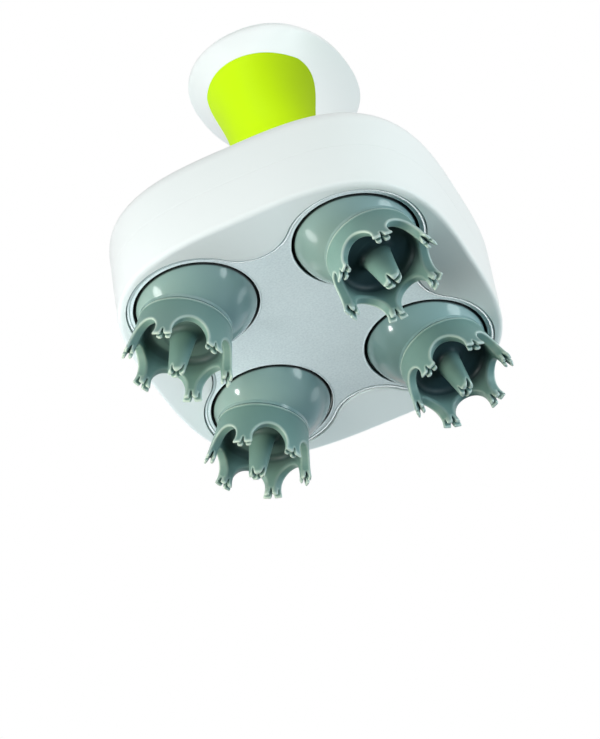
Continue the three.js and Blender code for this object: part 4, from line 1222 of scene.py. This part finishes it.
def photo_camera():
    """The photograph's view: low in front, a little to the right, looking up."""
    lens = bpy.data.cameras.new("camera")
    lens.sensor_fit = "VERTICAL"
    lens.sensor_height = SENSOR_HEIGHT
    lens.lens = SENSOR_HEIGHT * FOCAL_LENGTH / PHOTO_HEIGHT
    lens.clip_start = 0.05
    lens.clip_end = 20
    back = CAMERA_RIGHT.cross(CAMERA_UP)
    turn = Matrix((CAMERA_RIGHT, CAMERA_UP, back)).transposed().to_4x4()
    place = (CAMERA_PLACE + Vector((0, 0, PLATE_HEIGHT))) * MM
    made = new_object("camera", lens)
    made.matrix_world = Matrix.Translation(place) @ turn
    bpy.context.scene.camera = made


studio_world()
floor()
softbox("low_left", -171, -42, 0.178, (0.1, 0.1), 1.1, COOL, CASING, LEFT_HEADS)
softbox("low_front_left", -128, -34, 0.25, (0.12, 0.12), 5.2, ROSE, CASING, LEFT_HEADS)
softbox("low_front", -100, -25, 0.9, (0.6, 0.5), 2.8, (0.86, 1, 0.94), CASING, LEFT_HEADS)
softbox("low_back", 97, -20, 1.0, (0.5, 0.3), 4.6, (0.78, 1, 1.03), CASING)
softbox("low_back_left", 130, -30, 0.6, (0.3, 0.3), 3.6, (0.9, 1, 1.06), CASING)
softbox("head_left", -160, -36, 0.25, (0.12, 0.12), 7.9, (1.1, 1, 0.83), LEFT_LIT)
softbox("head_front_left", -128, -30, 0.25, (0.12, 0.12), 3.4, (0.92, 1, 0.75), HEAD_SKINS)
softbox("head_front", -100, -20, 0.9, (0.6, 0.4), 1.1, WHITE, HEAD_SKINS)
softbox("head_right", 0, -35, 0.6, (0.3, 0.3), 3.4, (0.8, 1, 1.2), HEAD_SKINS)
softbox("head_below", 90, -80, 0.6, (0.3, 0.3), 0.9, WHITE, ("bell_skin",))
softbox("claw_front_right", -150, -20, 1.0, (0.3, 0.3), 15, WARM, RIGHT_CLAW, LEFT_HEADS)
softbox("bell_back_right", -85, -30, 1.0, (0.4, 0.4), 3.2, COOL, RIGHT_BELL, HEAD_SKINS)
softbox("handle_front", -90, 0, 1.0, (0.5, 0.5), 2.9, WHITE, HANDLE)
softbox("left_side", -170, 8, 1.0, (0.6, 0.6), 0.6)
softbox("low_right", -5, -22, 0.5, (0.3, 0.3), 0.9, (0.84, 1, 1.03), ("body_",), HEAD_SKINS)
softbox("right_side", 4, 0, 1.0, (0.5, 0.7), 4.2, (0.9, 1, 1), RIGHT_LIT)
softbox("plate_fill", -148, -46, 0.28, (0.2, 0.2), 6.0, WHITE, PLATE, LEFT_HEADS)
softbox("bead_glint", 105, -44, 1.0, (0.7, 0.7), 5, WHITE, ("plate_bead",), HEAD_SKINS, role="glint")
softbox("right_glint", -10, -10, 1.0, (0.45, 0.3), 2.6, COOL, role="glint")
softbox("back_glint", 36, -13, 1.0, (0.3, 0.35), 0.8, COOL, role="glint")
softbox("glint_front_left", -141, -16, 1.0, (0.24, 0.36), 6, WHITE, FRONT_LEFT, HEAD_SKINS, role="glint")
softbox("glint_front_right", -161, -15, 1.0, (0.26, 0.42), 3, WHITE, FRONT_RIGHT, HEAD_SKINS, role="glint")
softbox("glint_back", -139, -20, 1.0, (0.13, 0.15), 22, WHITE, ("skin_back",), HEAD_SKINS, role="glint")
photo_camera()
bpy.context.scene.view_settings.view_transform = "Standard"
